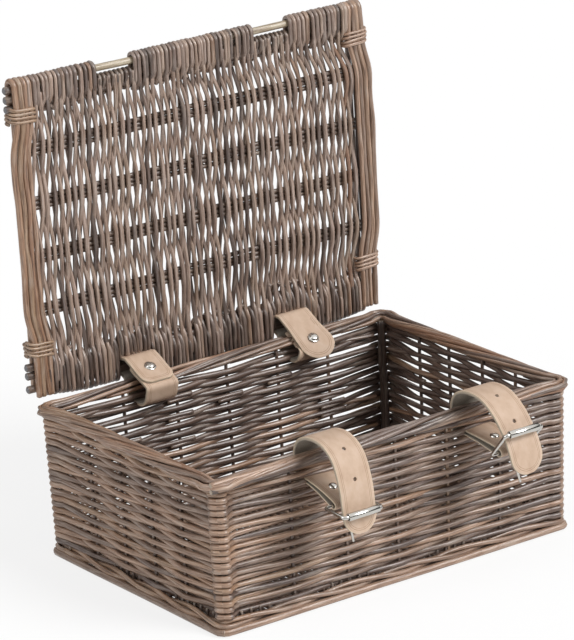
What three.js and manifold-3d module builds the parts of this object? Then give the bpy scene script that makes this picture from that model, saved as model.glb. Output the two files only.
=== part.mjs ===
// A willow picnic basket: woven walls on a rod foot, a hinged woven lid that stands open,
// two leather hinge loops, and two leather closing straps with roller buckles.
// Millimetres. +X runs along the length, -Y is the front and +Z is up.
// The origin is on the floor, under the middle of the base.

import * as THREE from 'three';
import { mergeVertices } from 'three/addons/utils/BufferGeometryUtils.js';
import Module from 'manifold-3d';

// Driving dimensions: the basket
const RIM_LENGTH = 300;
const RIM_WIDTH = 215;
const RIM_TOP = 111;
const FLARE = 2.5;
const RIM_OVERHANG = 4;
const RIM_ROD_DIAMETER = 5;
const RIM_ROD_PITCH = 4;
const RIM_RODS_ACROSS = 3;
const RIM_RODS_HIGH = 2;
const FOOT_OVERHANG = 2;
const FOOT_HEIGHT = 9;
const FOOT_WIDTH = 12;
const FOOT_CORNER_RADIUS = 10;
const FOOT_CHAMFER = 1.2;
const WALL_THICKNESS = 9;
const WALL_GROOVE = 1.3;
const WALL_ROWS = 20;
const CORNER_RADIUS = 6.5;
const CORNER_GROOVE = 0.9;
const STAKE_DIAMETER = 4.6;
const STAKE_SOCKET = 5;
const STAKE_BESIDE_STRAP = 9.5;
const END_STAKE_PITCH = 37;
const END_STAKES = 4;
const BASE_THICKNESS = 8;
const BASE_THIN = 3.4;
const BASE_STICK_DIAMETER = 4.4;
const BASE_STICK_PITCH = 48;
const BASE_STICKS = 3;

// Driving dimensions: the lid
const LID_END_OVERHANG = 0.8;
const LID_FRONT_OVERHANG = 5.8;
const LID_THICKNESS = 11;
const LID_SKIN = 0.4;
const LID_GROOVE = 1.2;
const LID_WEAVERS = 39;
const LID_WEAVER_THICKNESS = 2.4;
const LID_WEAVER_GAP = 0.45;
const LID_SELVEDGE = 3;
const WEAVE_FLAT = 6;
const LID_OPEN_ANGLE = 90.7;
const LID_CLOSED_GAP = 1.5;
const LID_BEHIND_RIM = 3;
const LID_SETBACK = 1.8;
const STICK_DIAMETER = 5.5;
const STICK_OVERHANG = 6;
const HINGE_EDGE_COVER = 1.5;
const FRONT_EDGE_COVER = 1.5;
const FRONT_STICK_PITCH = 8.2;
const INNER_STICKS = 4;
const SIDE_RODS = 3;
const BINDING_THICKNESS = 2.4;
const BINDING_WIDTH = 8;
const BINDING_INSET = 4;

// Driving dimensions: leather and metal
const STRAP_LEFT_X = -61;
const STRAP_RIGHT_X = 70;
const STRAP_WIDTH = 26;
const LEATHER = 2.2;
const STRAP_TURN_IN = 3.5;
const STRAP_TURN_UP = 8;
const HOLE_DIAMETER = 2.6;
const HOLES_FROM_TIP = [58, 37];
const TIP_FLAT = 7.28;
const TAB_BELOW_RIM = 20.5;
const TAB_RIVET_SHARE = 0.45;
const HINGE_BULGE = 12.5;
const HINGE_TIP_DROP = 2;
const HINGE_PASS_DROP = 2;
const WIRE_DIAMETER = 2.2;
const FRAME_PLAY = 1.3;
const FRAME_CORNER = 2.5;
const ROLLER_DIAMETER = 5;
const PRONG_DIAMETER = 1.8;
const PRONG_LENGTH = 24;
const RIVET_HEAD = 8.5;
const RIVET_HEIGHT = 2;
const RIVET_EDGE = 0.5;
const RIVET_CROWN = 6;
const RIVET_CROWN_HEIGHT = 1.5;
const RIVET_SHANK = 3.4;
const RIVET_CAP = 6.8;
const RIVET_CAP_HEIGHT = 1;

// Fits
const CLEAR = 0.3;
const LOOSE = 0.5;

// Smoothness of round pieces, and how far a cutting tool runs past what it cuts
const ROD_SIDES = 8;
const THIN_SIDES = 6;
const RIVET_SIDES = 10;
const ROLLER_SIDES = 12;
const FOOT_CORNER_STEPS = 4;
const NOSE_STEPS = 6;
const BINDING_STEPS = 4;
const FOLD_STEPS = 8;
const HINGE_STEPS = 48;
const STRAP_STEPS = 44;
const FRAME_STEPS = 40;
const CUT_PAST = 1;
const SAME_POINT = 1e-4;

// How each closing strap was left. lean is how far its tip drifts along X, and shift is how far
// its buckle has moved. Places are [out, up] from the outer top edge of the front rim
const LEFT_CLOSURE = {
  name: 'left',
  x: STRAP_LEFT_X,
  lean: 3,
  shift: 1.5,
  run: [[2, 12.4], [16, 11.2], [26.5, 3], [32.5, -14], [34.3, -32], [36, -48]],
  bar: [18.5, -31.5],
  roller: [40.6, -32.5],
};
const RIGHT_CLOSURE = {
  name: 'right',
  x: STRAP_RIGHT_X,
  lean: 6.5,
  shift: 4,
  run: [[3, 12.4], [17, 10.4], [28.5, 1.5], [37.5, -12], [42, -25], [44, -39]],
  bar: [25.5, -27],
  roller: [42.6, -8.6],
};

const CLOSURES = [LEFT_CLOSURE, RIGHT_CLOSURE];

// Sizes that follow from the driving dimensions
const HALF_LENGTH = RIM_LENGTH / 2;
const HALF_WIDTH = RIM_WIDTH / 2;
const WALL_X = HALF_LENGTH - RIM_OVERHANG;
const WALL_Y = HALF_WIDTH - RIM_OVERHANG;
const BAND_WIDTH = (RIM_RODS_ACROSS - 1) * RIM_ROD_PITCH + RIM_ROD_DIAMETER;
const BAND_HEIGHT = (RIM_RODS_HIGH - 1) * RIM_ROD_PITCH + RIM_ROD_DIAMETER;
const BAND_BOTTOM = RIM_TOP - BAND_HEIGHT;
const WALL_BOTTOM = FOOT_HEIGHT + CLEAR;
const WALL_TOP = BAND_BOTTOM - CLEAR;
const CORNER_X = WALL_X - CORNER_RADIUS;
const CORNER_Y = WALL_Y - CORNER_RADIUS;
const STRAP_XS = [STRAP_LEFT_X, STRAP_RIGHT_X];
const STAKE_OFFSET = STRAP_WIDTH / 2 + STAKE_BESIDE_STRAP;
const LONG_STAKES = [
  STRAP_LEFT_X - STAKE_OFFSET,
  STRAP_LEFT_X + STAKE_OFFSET,
  (STRAP_LEFT_X + STRAP_RIGHT_X) / 2,
  STRAP_RIGHT_X - STAKE_OFFSET,
  STRAP_RIGHT_X + STAKE_OFFSET,
];
const SHORT_STAKES = spread(END_STAKES, END_STAKE_PITCH);
const BASE_STICK_YS = spread(BASE_STICKS, BASE_STICK_PITCH);

const HINGE_Y = HALF_WIDTH + LID_BEHIND_RIM;
const HINGE_Z = RIM_TOP + LID_CLOSED_GAP;
const LID_LENGTH = RIM_LENGTH + 2 * LID_END_OVERHANG;
const LID_DEPTH = RIM_WIDTH + LID_BEHIND_RIM - LID_SETBACK + LID_FRONT_OVERHANG;
const LID_MID = LID_THICKNESS / 2;
const LID_EDGE_X = LID_LENGTH / 2 - STICK_OVERHANG;
const SIDE_ROD_PITCH = STICK_DIAMETER + CLEAR;
const LID_WEAVE_X = LID_EDGE_X - SIDE_RODS * SIDE_ROD_PITCH;
const SLOT_HEIGHT = LEATHER + 2 * LOOSE;
const HINGE_STICKS = [HINGE_EDGE_COVER + STICK_DIAMETER / 2];
const HINGE_SLOT_S = HINGE_STICKS[0] + STICK_DIAMETER / 2 + LOOSE + SLOT_HEIGHT / 2;
HINGE_STICKS.push(HINGE_SLOT_S + SLOT_HEIGHT / 2 + LOOSE + STICK_DIAMETER / 2);
HINGE_STICKS.push(HINGE_STICKS[1] + STICK_DIAMETER + 2 * CLEAR);
const FRONT_ROD_S = LID_DEPTH - FRONT_EDGE_COVER - STICK_DIAMETER / 2;
const SECOND_STICK_S = FRONT_ROD_S - FRONT_STICK_PITCH;
const FRONT_WRAP_S = SECOND_STICK_S - STICK_DIAMETER / 2 - FRONT_EDGE_COVER;
const HINGE_BAND_S = HINGE_STICKS[2] + STICK_DIAMETER / 2;
const SIDE_ROD_FROM = HINGE_BAND_S + CLEAR;
const SIDE_ROD_TO = FRONT_WRAP_S - CLEAR;
const LID_WEAVE_FROM = HINGE_BAND_S + LID_SELVEDGE;
const LID_WEAVE_TO = FRONT_WRAP_S - CLEAR;

const FRAME_WIDTH = STRAP_WIDTH + 2 * (FRAME_PLAY + WIRE_DIAMETER);
const ROLLER_LENGTH = FRAME_WIDTH - 2 * (WIRE_DIAMETER / 2 + FRAME_CORNER + LOOSE);
const TAB_WIDTH = ROLLER_LENGTH - 2 * LOOSE;

// Materials
const WILLOW = new THREE.MeshStandardMaterial({ color: 0x8c7b6c, roughness: 0.75, metalness: 0 });
const WILLOW_DARK = new THREE.MeshStandardMaterial({ color: 0x6f6258, roughness: 0.75, metalness: 0 });
const PEELED_ROD = new THREE.MeshStandardMaterial({ color: 0xb9b3a0, roughness: 0.6, metalness: 0 });
const HIDE = new THREE.MeshStandardMaterial({ color: 0xd2b79c, roughness: 0.6, metalness: 0 });
const NICKEL = new THREE.MeshStandardMaterial({ color: 0xc9c8c4, roughness: 0.2, metalness: 1 });

const wasm = await Module();
wasm.setup();

// Evenly spaced places about zero
function spread(count, pitch) {
  return Array.from({ length: count }, (_, i) => (i - (count - 1) / 2) * pitch);
}

// Closed geometry to solid and back, for joins and cuts
function toSolid(geometry) {
  const bare = geometry.clone();
  bare.deleteAttribute('normal');
  bare.deleteAttribute('uv');
  const merged = mergeVertices(bare, SAME_POINT);
  const mesh = new wasm.Mesh({
    numProp: 3,
    vertProperties: new Float32Array(merged.attributes.position.array),
    triVerts: new Uint32Array(merged.index.array),
  });
  return new wasm.Manifold(mesh);
}

function toGeometry(solid) {
  const mesh = solid.getMesh();
  return indexed(Array.from(mesh.vertProperties), Array.from(mesh.triVerts));
}

function indexed(positions, triangles) {
  const geometry = new THREE.BufferGeometry();
  geometry.setAttribute('position', new THREE.Float32BufferAttribute(positions, 3));
  geometry.setIndex(triangles);
  return geometry;
}

function join(geometries) {
  return toGeometry(geometries.map(toSolid).reduce((sum, next) => sum.add(next)));
}

function cut(geometry, tools) {
  return toGeometry(tools.map(toSolid).reduce((rest, next) => rest.subtract(next), toSolid(geometry)));
}

// Basic solids
function block(from, to) {
  const size = to.map((value, i) => value - from[i]);
  const middle = to.map((value, i) => (value + from[i]) / 2);
  return new THREE.BoxGeometry(...size).translate(...middle);
}

function rod(from, to, diameter, sides = ROD_SIDES) {
  const start = new THREE.Vector3(...from);
  const along = new THREE.Vector3(...to).sub(start);
  const geometry = new THREE.CylinderGeometry(diameter / 2, diameter / 2, along.length(), sides);
  geometry.rotateY(Math.PI / sides);
  const turn = new THREE.Quaternion().setFromUnitVectors(
    new THREE.Vector3(0, 1, 0), along.clone().normalize());
  geometry.applyQuaternion(turn);
  const middle = start.addScaledVector(along, 0.5);
  return geometry.translate(middle.x, middle.y, middle.z);
}

function extruded(outline, from, to) {
  const shape = new THREE.Shape(outline.map(([u, v]) => new THREE.Vector2(u, v)));
  const geometry = new THREE.ExtrudeGeometry(shape, { depth: to - from, bevelEnabled: false });
  return geometry.translate(0, 0, from);
}

// An outline of (y, z) run along X
function alongX(outline, from, to) {
  const turn = new THREE.Matrix4().set(0, 0, 1, 0, 1, 0, 0, 0, 0, 1, 0, 0, 0, 0, 0, 1);
  return extruded(outline, from, to).applyMatrix4(turn);
}

// An outline of (z, x) run along Y
function alongY(outline, from, to) {
  const turn = new THREE.Matrix4().set(0, 1, 0, 0, 0, 0, 1, 0, 1, 0, 0, 0, 0, 0, 0, 1);
  return extruded(outline, from, to).applyMatrix4(turn);
}

// A turned solid about Z, from (radius, z) points that go up the outside
function turned(points, sides) {
  const profile = points.map(([r, z]) => new THREE.Vector2(r, z));
  return new THREE.LatheGeometry(profile, sides).rotateX(Math.PI / 2);
}

// Where equal rows begin and end
function rowMarks(rows, from, to) {
  return Array.from({ length: rows + 1 }, (_, i) => from + i * (to - from) / rows);
}

// A slab across the direction of its rows: (across, along) points with a groove at each mark
function groovedOutline(thickness, groove, marks) {
  const side = [];
  marks.forEach((mark, i) => {
    if (i > 0) {
      side.push([thickness / 2, (marks[i - 1] + mark) / 2]);
    }
    side.push([thickness / 2 - groove, mark]);
  });
  const back = side.map(([across, along]) => [-across, along]).reverse();
  return side.concat(back);
}

// A flat band along (y, z) points, square in section, that may narrow and drift along X
function ribbon(points, thickness, { halfWidth, drift = () => 0, closed = false }) {
  const count = points.length;
  const positions = [];
  const triangles = [];
  points.forEach(([y, z], i) => {
    const before = points[closed ? (i + count - 1) % count : Math.max(i - 1, 0)];
    const after = points[closed ? (i + 1) % count : Math.min(i + 1, count - 1)];
    const way = new THREE.Vector2(after[0] - before[0], after[1] - before[1]).normalize();
    const out = [-way.y * thickness / 2, way.x * thickness / 2];
    const half = halfWidth(i);
    const x = drift(i);
    positions.push(x - half, y + out[0], z + out[1], x + half, y + out[0], z + out[1]);
    positions.push(x + half, y - out[0], z - out[1], x - half, y - out[0], z - out[1]);
  });
  const spans = closed ? count : count - 1;
  for (let i = 0; i < spans; i += 1) {
    const here = 4 * i;
    const next = 4 * ((i + 1) % count);
    for (let k = 0; k < 4; k += 1) {
      const side = (k + 1) % 4;
      triangles.push(here + k, here + side, next + side, here + k, next + side, next + k);
    }
  }
  if (!closed) {
    const last = 4 * (count - 1);
    triangles.push(0, 2, 1, 0, 3, 2, last, last + 1, last + 2, last, last + 2, last + 3);
  }
  return outward(indexed(positions, triangles));
}

// Turns a closed geometry's faces to point out
function outward(geometry) {
  const place = geometry.attributes.position;
  const order = geometry.index.array;
  const corner = [0, 1, 2].map(() => new THREE.Vector3());
  let volume = 0;
  for (let i = 0; i < order.length; i += 3) {
    corner.forEach((point, k) => point.fromBufferAttribute(place, order[i + k]));
    volume += corner[0].dot(corner[1].cross(corner[2]));
  }
  if (volume < 0) {
    for (let i = 0; i < order.length; i += 3) {
      [order[i], order[i + 1]] = [order[i + 1], order[i]];
    }
  }
  return geometry;
}

// Smooth (y, z) points through a few chosen ones
function smooth(points, steps, closed = false) {
  const curve = new THREE.CatmullRomCurve3(
    points.map(([y, z]) => new THREE.Vector3(0, y, z)), closed, 'centripetal');
  const sampled = curve.getSpacedPoints(steps).map((p) => [p.y, p.z]);
  return closed ? sampled.slice(0, -1) : sampled;
}

// The walls lean out from the floor to the rim
function leanAt(z) {
  return FLARE * (RIM_TOP - z) / RIM_TOP;
}

function flared(geometry) {
  const place = geometry.attributes.position;
  for (let i = 0; i < place.count; i += 1) {
    const share = leanAt(place.getZ(i));
    place.setX(i, place.getX(i) * (1 - share / HALF_LENGTH));
    place.setY(i, place.getY(i) * (1 - share / HALF_WIDTH));
  }
  return geometry;
}

function flaredY(y, z) {
  return y * (1 - leanAt(z) / HALF_WIDTH);
}

const basket = new THREE.Group();

function add(parent, name, geometry, material) {
  const mesh = new THREE.Mesh(geometry, material);
  mesh.name = name;
  parent.add(mesh);
  return mesh;
}

// Base: a woven mat on lengthwise sticks, inside the foot
const FOOT_INNER_X = WALL_X + FOOT_OVERHANG - FOOT_WIDTH;
const FOOT_INNER_Y = WALL_Y + FOOT_OVERHANG - FOOT_WIDTH;
const BASE_STICK_Z = BASE_THICKNESS / 2;

// Half thicknesses of the mat as (y, half): full over each stick and thin between, where the weavers cross
function matProfile(end) {
  const profile = [[-end, BASE_THIN / 2]];
  BASE_STICK_YS.forEach((y, i) => {
    if (i > 0) {
      profile.push([(BASE_STICK_YS[i - 1] + y) / 2, BASE_THIN / 2]);
    }
    profile.push([y - WEAVE_FLAT / 2, BASE_THICKNESS / 2], [y + WEAVE_FLAT / 2, BASE_THICKNESS / 2]);
  });
  profile.push([end, BASE_THIN / 2]);
  return profile;
}

function makeBase() {
  const reach = FOOT_INNER_X + STAKE_SOCKET;
  const halfX = FOOT_INNER_X - CLEAR;
  const halfY = FOOT_INNER_Y - CLEAR;
  const profile = matProfile(halfY);
  const top = profile.map(([y, half]) => [y, BASE_STICK_Z + half]);
  const bottom = profile.map(([y, half]) => [y, BASE_STICK_Z - half]).reverse();
  const mat = alongX([...top, ...bottom], -halfX, halfX);
  const bores = BASE_STICK_YS.map((y) => rod(
    [-reach, y, BASE_STICK_Z], [reach, y, BASE_STICK_Z], BASE_STICK_DIAMETER + 2 * CLEAR));
  add(basket, 'base_mat', flared(cut(mat, bores)), WILLOW_DARK);
  BASE_STICK_YS.forEach((y, i) => {
    const stick = rod([-reach, y, BASE_STICK_Z], [reach, y, BASE_STICK_Z], BASE_STICK_DIAMETER);
    add(basket, `base_stick_${i + 1}`, flared(stick), WILLOW_DARK);
  });
}

// Places of the upright stakes, wall by wall
const WALL_MID_X = WALL_X - WALL_THICKNESS / 2;
const WALL_MID_Y = WALL_Y - WALL_THICKNESS / 2;

function longStakePlaces(side) {
  const upright = LONG_STAKES.map((x) => [x, side * WALL_MID_Y]);
  const corners = [-CORNER_X, CORNER_X].map((x) => [x, side * CORNER_Y]);
  return upright.concat(corners);
}

function shortStakePlaces(side) {
  return SHORT_STAKES.map((y) => [side * WALL_MID_X, y]);
}

function stakeRods(places, from, to, diameter) {
  return places.map(([x, y]) => rod([x, y, from], [x, y, to], diameter));
}

const BORE = STAKE_DIAMETER + 2 * CLEAR;
const STAKE_FOOT = FOOT_HEIGHT - STAKE_SOCKET;

// Foot: four rod bands, the long ones with rounded outer corners
function footBand(shape) {
  const chamfer = {
    depth: FOOT_HEIGHT - 2 * FOOT_CHAMFER,
    bevelThickness: FOOT_CHAMFER,
    bevelSize: FOOT_CHAMFER,
    bevelOffset: -FOOT_CHAMFER,
    bevelSegments: 1,
    curveSegments: FOOT_CORNER_STEPS,
  };
  return new THREE.ExtrudeGeometry(shape, chamfer).translate(0, 0, FOOT_CHAMFER);
}

function longFootShape(side) {
  const x = WALL_X + FOOT_OVERHANG;
  const outer = WALL_Y + FOOT_OVERHANG;
  const r = FOOT_CORNER_RADIUS;
  const shape = new THREE.Shape();
  shape.moveTo(-x, side * FOOT_INNER_Y);
  shape.lineTo(x, side * FOOT_INNER_Y);
  shape.lineTo(x, side * (outer - r));
  shape.absarc(x - r, side * (outer - r), r, 0, side * Math.PI / 2, side < 0);
  shape.lineTo(-x + r, side * outer);
  shape.absarc(-x + r, side * (outer - r), r, side * Math.PI / 2, side * Math.PI, side < 0);
  return shape;
}

function shortFootShape(side) {
  const inner = side * FOOT_INNER_X;
  const outer = side * (WALL_X + FOOT_OVERHANG);
  const y = FOOT_INNER_Y - CLEAR;
  return new THREE.Shape([[inner, -y], [outer, -y], [outer, y], [inner, y]]
    .map(([u, v]) => new THREE.Vector2(u, v)));
}

function makeFoot() {
  const sockets = (places) => stakeRods(places, STAKE_FOOT - CLEAR, FOOT_HEIGHT + LOOSE, BORE);
  const stickEnds = BASE_STICK_YS.map((y) => {
    const reach = FOOT_INNER_X + STAKE_SOCKET + CLEAR;
    return rod([-reach, y, BASE_STICK_Z], [reach, y, BASE_STICK_Z], BASE_STICK_DIAMETER + 2 * CLEAR);
  });
  [['front', -1], ['back', 1]].forEach(([name, side]) => {
    const band = cut(footBand(longFootShape(side)), sockets(longStakePlaces(side)));
    add(basket, `${name}_foot`, flared(band), WILLOW);
  });
  [['left', -1], ['right', 1]].forEach(([name, side]) => {
    const band = cut(footBand(shortFootShape(side)), sockets(shortStakePlaces(side)).concat(stickEnds));
    add(basket, `${name}_foot`, flared(band), WILLOW);
  });
}

// Walls: woven panels that thread over the stakes, with slots where leather passes through
const PANEL_END_X = CORNER_X - CORNER_RADIUS - CLEAR;
const PANEL_END_Y = CORNER_Y - CORNER_RADIUS - CLEAR;
const TAB_ROOT_Z = RIM_TOP - TAB_BELOW_RIM;
const TAB_LAYER = (LEATHER + LOOSE) / 2;
const HINGE_PASS_Z = BAND_BOTTOM - LOOSE - LEATHER / 2 - HINGE_PASS_DROP;
const WALL_MARKS = rowMarks(WALL_ROWS, WALL_BOTTOM, WALL_TOP);

function makeWalls() {
  const rows = groovedOutline(WALL_THICKNESS, WALL_GROOVE, WALL_MARKS);
  const bores = (places) => stakeRods(places, 0, RIM_TOP, BORE);
  [['front', -1], ['back', 1]].forEach(([name, side]) => {
    const outline = rows.map(([across, z]) => [side * WALL_MID_Y + across, z]);
    const panel = alongX(outline, -PANEL_END_X, PANEL_END_X);
    const slots = side < 0 ? CLOSURES.map(tabSlot) : STRAP_XS.map(hingeSlot);
    const tools = bores(longStakePlaces(side).slice(0, LONG_STAKES.length)).concat(slots);
    add(basket, `${name}_wall`, flared(cut(panel, tools)), WILLOW);
  });
  [['left', -1], ['right', 1]].forEach(([name, side]) => {
    const outline = rows.map(([across, z]) => [z, side * WALL_MID_X + across]);
    const panel = alongY(outline, -PANEL_END_Y, PANEL_END_Y);
    add(basket, `${name}_wall`, flared(cut(panel, bores(shortStakePlaces(side)))), WILLOW);
  });
}

function tabSlot(closure) {
  const x = closure.x + closure.shift;
  const half = TAB_WIDTH / 2 + LOOSE;
  const tall = TAB_LAYER + LEATHER / 2 + LOOSE;
  return block([x - half, -HALF_WIDTH, TAB_ROOT_Z - tall], [x + half, 0, TAB_ROOT_Z + tall]);
}

function hingeSlot(x) {
  const half = STRAP_WIDTH / 2 + LOOSE;
  const bottom = HINGE_PASS_Z - LEATHER / 2 - 2 * LOOSE;
  return block([x - half, 0, bottom], [x + half, HALF_WIDTH, RIM_TOP]);
}

// Corner columns: the weavers wrapped round each corner stake
function makeCorners() {
  const outline = groovedOutline(2 * CORNER_RADIUS, CORNER_GROOVE, WALL_MARKS);
  const skin = outline.filter(([across]) => across > 0);
  const hole = BORE / 2;
  const profile = [[hole, WALL_BOTTOM], ...skin, [hole, WALL_TOP], [hole, WALL_BOTTOM]];
  [['front', -1], ['back', 1]].forEach(([depth, sy]) => {
    [['left', -1], ['right', 1]].forEach(([end, sx]) => {
      const column = turned(profile, ROD_SIDES).translate(sx * CORNER_X, sy * CORNER_Y, 0);
      add(basket, `${depth}_${end}_corner`, flared(column), WILLOW);
    });
  });
}

// Rim: stakes turned down at the top into a border of parallel rods about a filled core
function rimRods(run) {
  const rods = [];
  spread(RIM_RODS_ACROSS, RIM_ROD_PITCH).forEach((across) => {
    for (let i = 0; i < RIM_RODS_HIGH; i += 1) {
      rods.push(run(across, RIM_TOP - RIM_ROD_DIAMETER / 2 - i * RIM_ROD_PITCH));
    }
  });
  return rods;
}

const CORE_HALF = (RIM_RODS_ACROSS - 1) * RIM_ROD_PITCH / 2;
const CORE_BOTTOM = BAND_BOTTOM + RIM_ROD_DIAMETER / 2;
const CORE_TOP = RIM_TOP - RIM_ROD_DIAMETER / 2;

function makeRim() {
  const midY = HALF_WIDTH - BAND_WIDTH / 2;
  const midX = HALF_LENGTH - BAND_WIDTH / 2;
  const endY = HALF_WIDTH - BAND_WIDTH - CLEAR;
  const fatten = RIM_ROD_DIAMETER / Math.cos(Math.PI / ROD_SIDES);
  [['front', -1], ['back', 1]].forEach(([name, side]) => {
    const rods = rimRods((across, z) => {
      const y = side * midY + across;
      return rod([-HALF_LENGTH, y, z], [HALF_LENGTH, y, z], fatten);
    });
    const core = block(
      [-HALF_LENGTH, side * midY - CORE_HALF, CORE_BOTTOM], [HALF_LENGTH, side * midY + CORE_HALF, CORE_TOP]);
    const stakes = stakeRods(longStakePlaces(side), STAKE_FOOT, CORE_TOP, STAKE_DIAMETER);
    add(basket, `${name}_border_and_stakes`, flared(join([core, ...rods, ...stakes])), WILLOW);
  });
  [['left', -1], ['right', 1]].forEach(([name, side]) => {
    const rods = rimRods((across, z) => {
      const x = side * midX + across;
      return rod([x, -endY, z], [x, endY, z], fatten);
    });
    const core = block(
      [side * midX - CORE_HALF, -endY, CORE_BOTTOM], [side * midX + CORE_HALF, endY, CORE_TOP]);
    const stakes = stakeRods(shortStakePlaces(side), STAKE_FOOT, CORE_TOP, STAKE_DIAMETER);
    add(basket, `${name}_border_and_stakes`, flared(join([core, ...rods, ...stakes])), WILLOW);
  });
}

// Lid: drawn closed about its hinge line, then swung open. s runs from the hinge edge to the front
const lid = new THREE.Group();
lid.position.set(0, HINGE_Y, HINGE_Z);
lid.rotation.x = -THREE.MathUtils.degToRad(LID_OPEN_ANGLE);
basket.add(lid);

function lidY(s) {
  return -(LID_SETBACK + s);
}

// A lid place (s, t) as (y, z) of the open basket
function lidPlace(s, t) {
  const place = new THREE.Vector3(0, lidY(s), t).applyEuler(lid.rotation).add(lid.position);
  return [place.y, place.z];
}

function crossStick(s, half, diameter) {
  return rod([-half, lidY(s), LID_MID], [half, lidY(s), LID_MID], diameter);
}

const STICK_GAP = (SECOND_STICK_S - HINGE_STICKS[2]) / (INNER_STICKS + 1);
const INNER_STICK_PLACES = Array.from(
  { length: INNER_STICKS }, (_, i) => HINGE_STICKS[2] + (i + 1) * STICK_GAP);
const BINDING_PLACES = [
  SIDE_ROD_FROM + BINDING_INSET + BINDING_WIDTH / 2,
  SIDE_ROD_TO - BINDING_INSET - BINDING_WIDTH / 2,
];
const SIDE_ROD_XS = Array.from(
  { length: SIDE_RODS }, (_, i) => LID_EDGE_X - STICK_DIAMETER / 2 - i * SIDE_ROD_PITCH);

// A cut right through the lid, between two places along it and two along X
function lidCut(places, ends) {
  const low = [Math.min(...ends), lidY(Math.max(...places)), -CUT_PAST];
  return block(low, [Math.max(...ends), lidY(Math.min(...places)), LID_THICKNESS + CUT_PAST]);
}

// A weaver's middle line as (s, t): in front of one stick, behind the next, and tucked in at both ends
function weaverLine(side) {
  const swing = STICK_DIAMETER / 2 + CLEAR + LID_WEAVER_THICKNESS / 2;
  const tuck = LID_MID - LID_SKIN - LID_GROOVE - LID_WEAVER_THICKNESS;
  const line = [[LID_WEAVE_FROM - LID_SELVEDGE / 2, LID_MID - side * tuck]];
  INNER_STICK_PLACES.forEach((s, i) => {
    const t = LID_MID + (i % 2 === 0 ? side : -side) * swing;
    line.push([s - WEAVE_FLAT / 2, t], [s + WEAVE_FLAT / 2, t]);
  });
  line.push([LID_WEAVE_TO - LID_SELVEDGE / 2, LID_MID + side * tuck]);
  return line;
}

// Fewer and wider weavers than the real lid's, in the same weave
function lidWeavers(marks) {
  const half = LID_WEAVER_THICKNESS / 2;
  return marks.slice(1).map((mark, i) => {
    const line = weaverLine(i % 2 === 0 ? 1 : -1);
    const above = line.map(([s, t]) => [lidY(s), t + half]);
    const below = line.map(([s, t]) => [lidY(s), t - half]).reverse();
    return alongX([...above, ...below], marks[i] + LID_WEAVER_GAP / 2, mark - LID_WEAVER_GAP / 2);
  });
}

function makeLidWeave() {
  const inner = rowMarks(LID_WEAVERS, -LID_WEAVE_X, LID_WEAVE_X);
  const left = rowMarks(SIDE_RODS, -LID_EDGE_X, -LID_WEAVE_X).slice(0, -1);
  const right = rowMarks(SIDE_RODS, LID_WEAVE_X, LID_EDGE_X).slice(1);
  const skin = groovedOutline(LID_THICKNESS - 2 * LID_SKIN, LID_GROOVE, [...left, ...inner, ...right]);
  const hingeBand = alongY(
    skin.map(([across, x]) => [LID_MID + across, x]), lidY(LID_WEAVE_FROM), lidY(0));
  const selvedge = block(
    [-LID_WEAVE_X, lidY(LID_WEAVE_TO), LID_SKIN],
    [LID_WEAVE_X, lidY(LID_WEAVE_TO - LID_SELVEDGE), LID_THICKNESS - LID_SKIN]);
  const bores = HINGE_STICKS.map((s) => crossStick(s, HALF_LENGTH, STICK_DIAMETER + 2 * CLEAR));
  const slots = STRAP_XS.map((x) => {
    const half = STRAP_WIDTH / 2 + LOOSE;
    const places = [HINGE_SLOT_S - SLOT_HEIGHT / 2, HINGE_SLOT_S + SLOT_HEIGHT / 2];
    return lidCut(places, [x - half, x + half]);
  });
  const notches = [-1, 1].map((side) => lidCut(
    [HINGE_BAND_S, LID_WEAVE_FROM + CUT_PAST], [side * LID_WEAVE_X, side * (LID_EDGE_X + CUT_PAST)]));
  BINDING_PLACES.forEach((s) => {
    const half = BINDING_WIDTH / 2 + CLEAR;
    const depth = LID_WEAVE_X - BINDING_THICKNESS - 2 * CLEAR;
    [-1, 1].forEach((side) => {
      notches.push(lidCut([s - half, s + half], [side * depth, side * LID_EDGE_X]));
    });
  });
  const weave = join([hingeBand, selvedge, ...lidWeavers(inner)]);
  add(lid, 'lid_weave', cut(weave, bores.concat(slots, notches)), WILLOW);
}

function makeLidSticks() {
  const full = LID_LENGTH / 2;
  add(lid, 'lid_front_rod', crossStick(FRONT_ROD_S, full, STICK_DIAMETER), PEELED_ROD);
  add(lid, 'lid_second_stick', crossStick(SECOND_STICK_S, full, STICK_DIAMETER), WILLOW_DARK);
  HINGE_STICKS.forEach((s, i) => {
    add(lid, `lid_hinge_stick_${i + 1}`, crossStick(s, full, STICK_DIAMETER), WILLOW_DARK);
  });
  INNER_STICK_PLACES.forEach((s, i) => {
    add(lid, `lid_stick_${i + 1}`, crossStick(s, LID_WEAVE_X, STICK_DIAMETER), WILLOW_DARK);
  });
  [['left', -1], ['right', 1]].forEach(([name, side]) => {
    SIDE_ROD_XS.forEach((x, i) => {
      const ends = [SIDE_ROD_FROM, SIDE_ROD_TO].map((s) => [side * x, lidY(s), LID_MID]);
      add(lid, `lid_${name}_rod_${i + 1}`, rod(...ends, STICK_DIAMETER), WILLOW);
    });
  });
}

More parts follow.
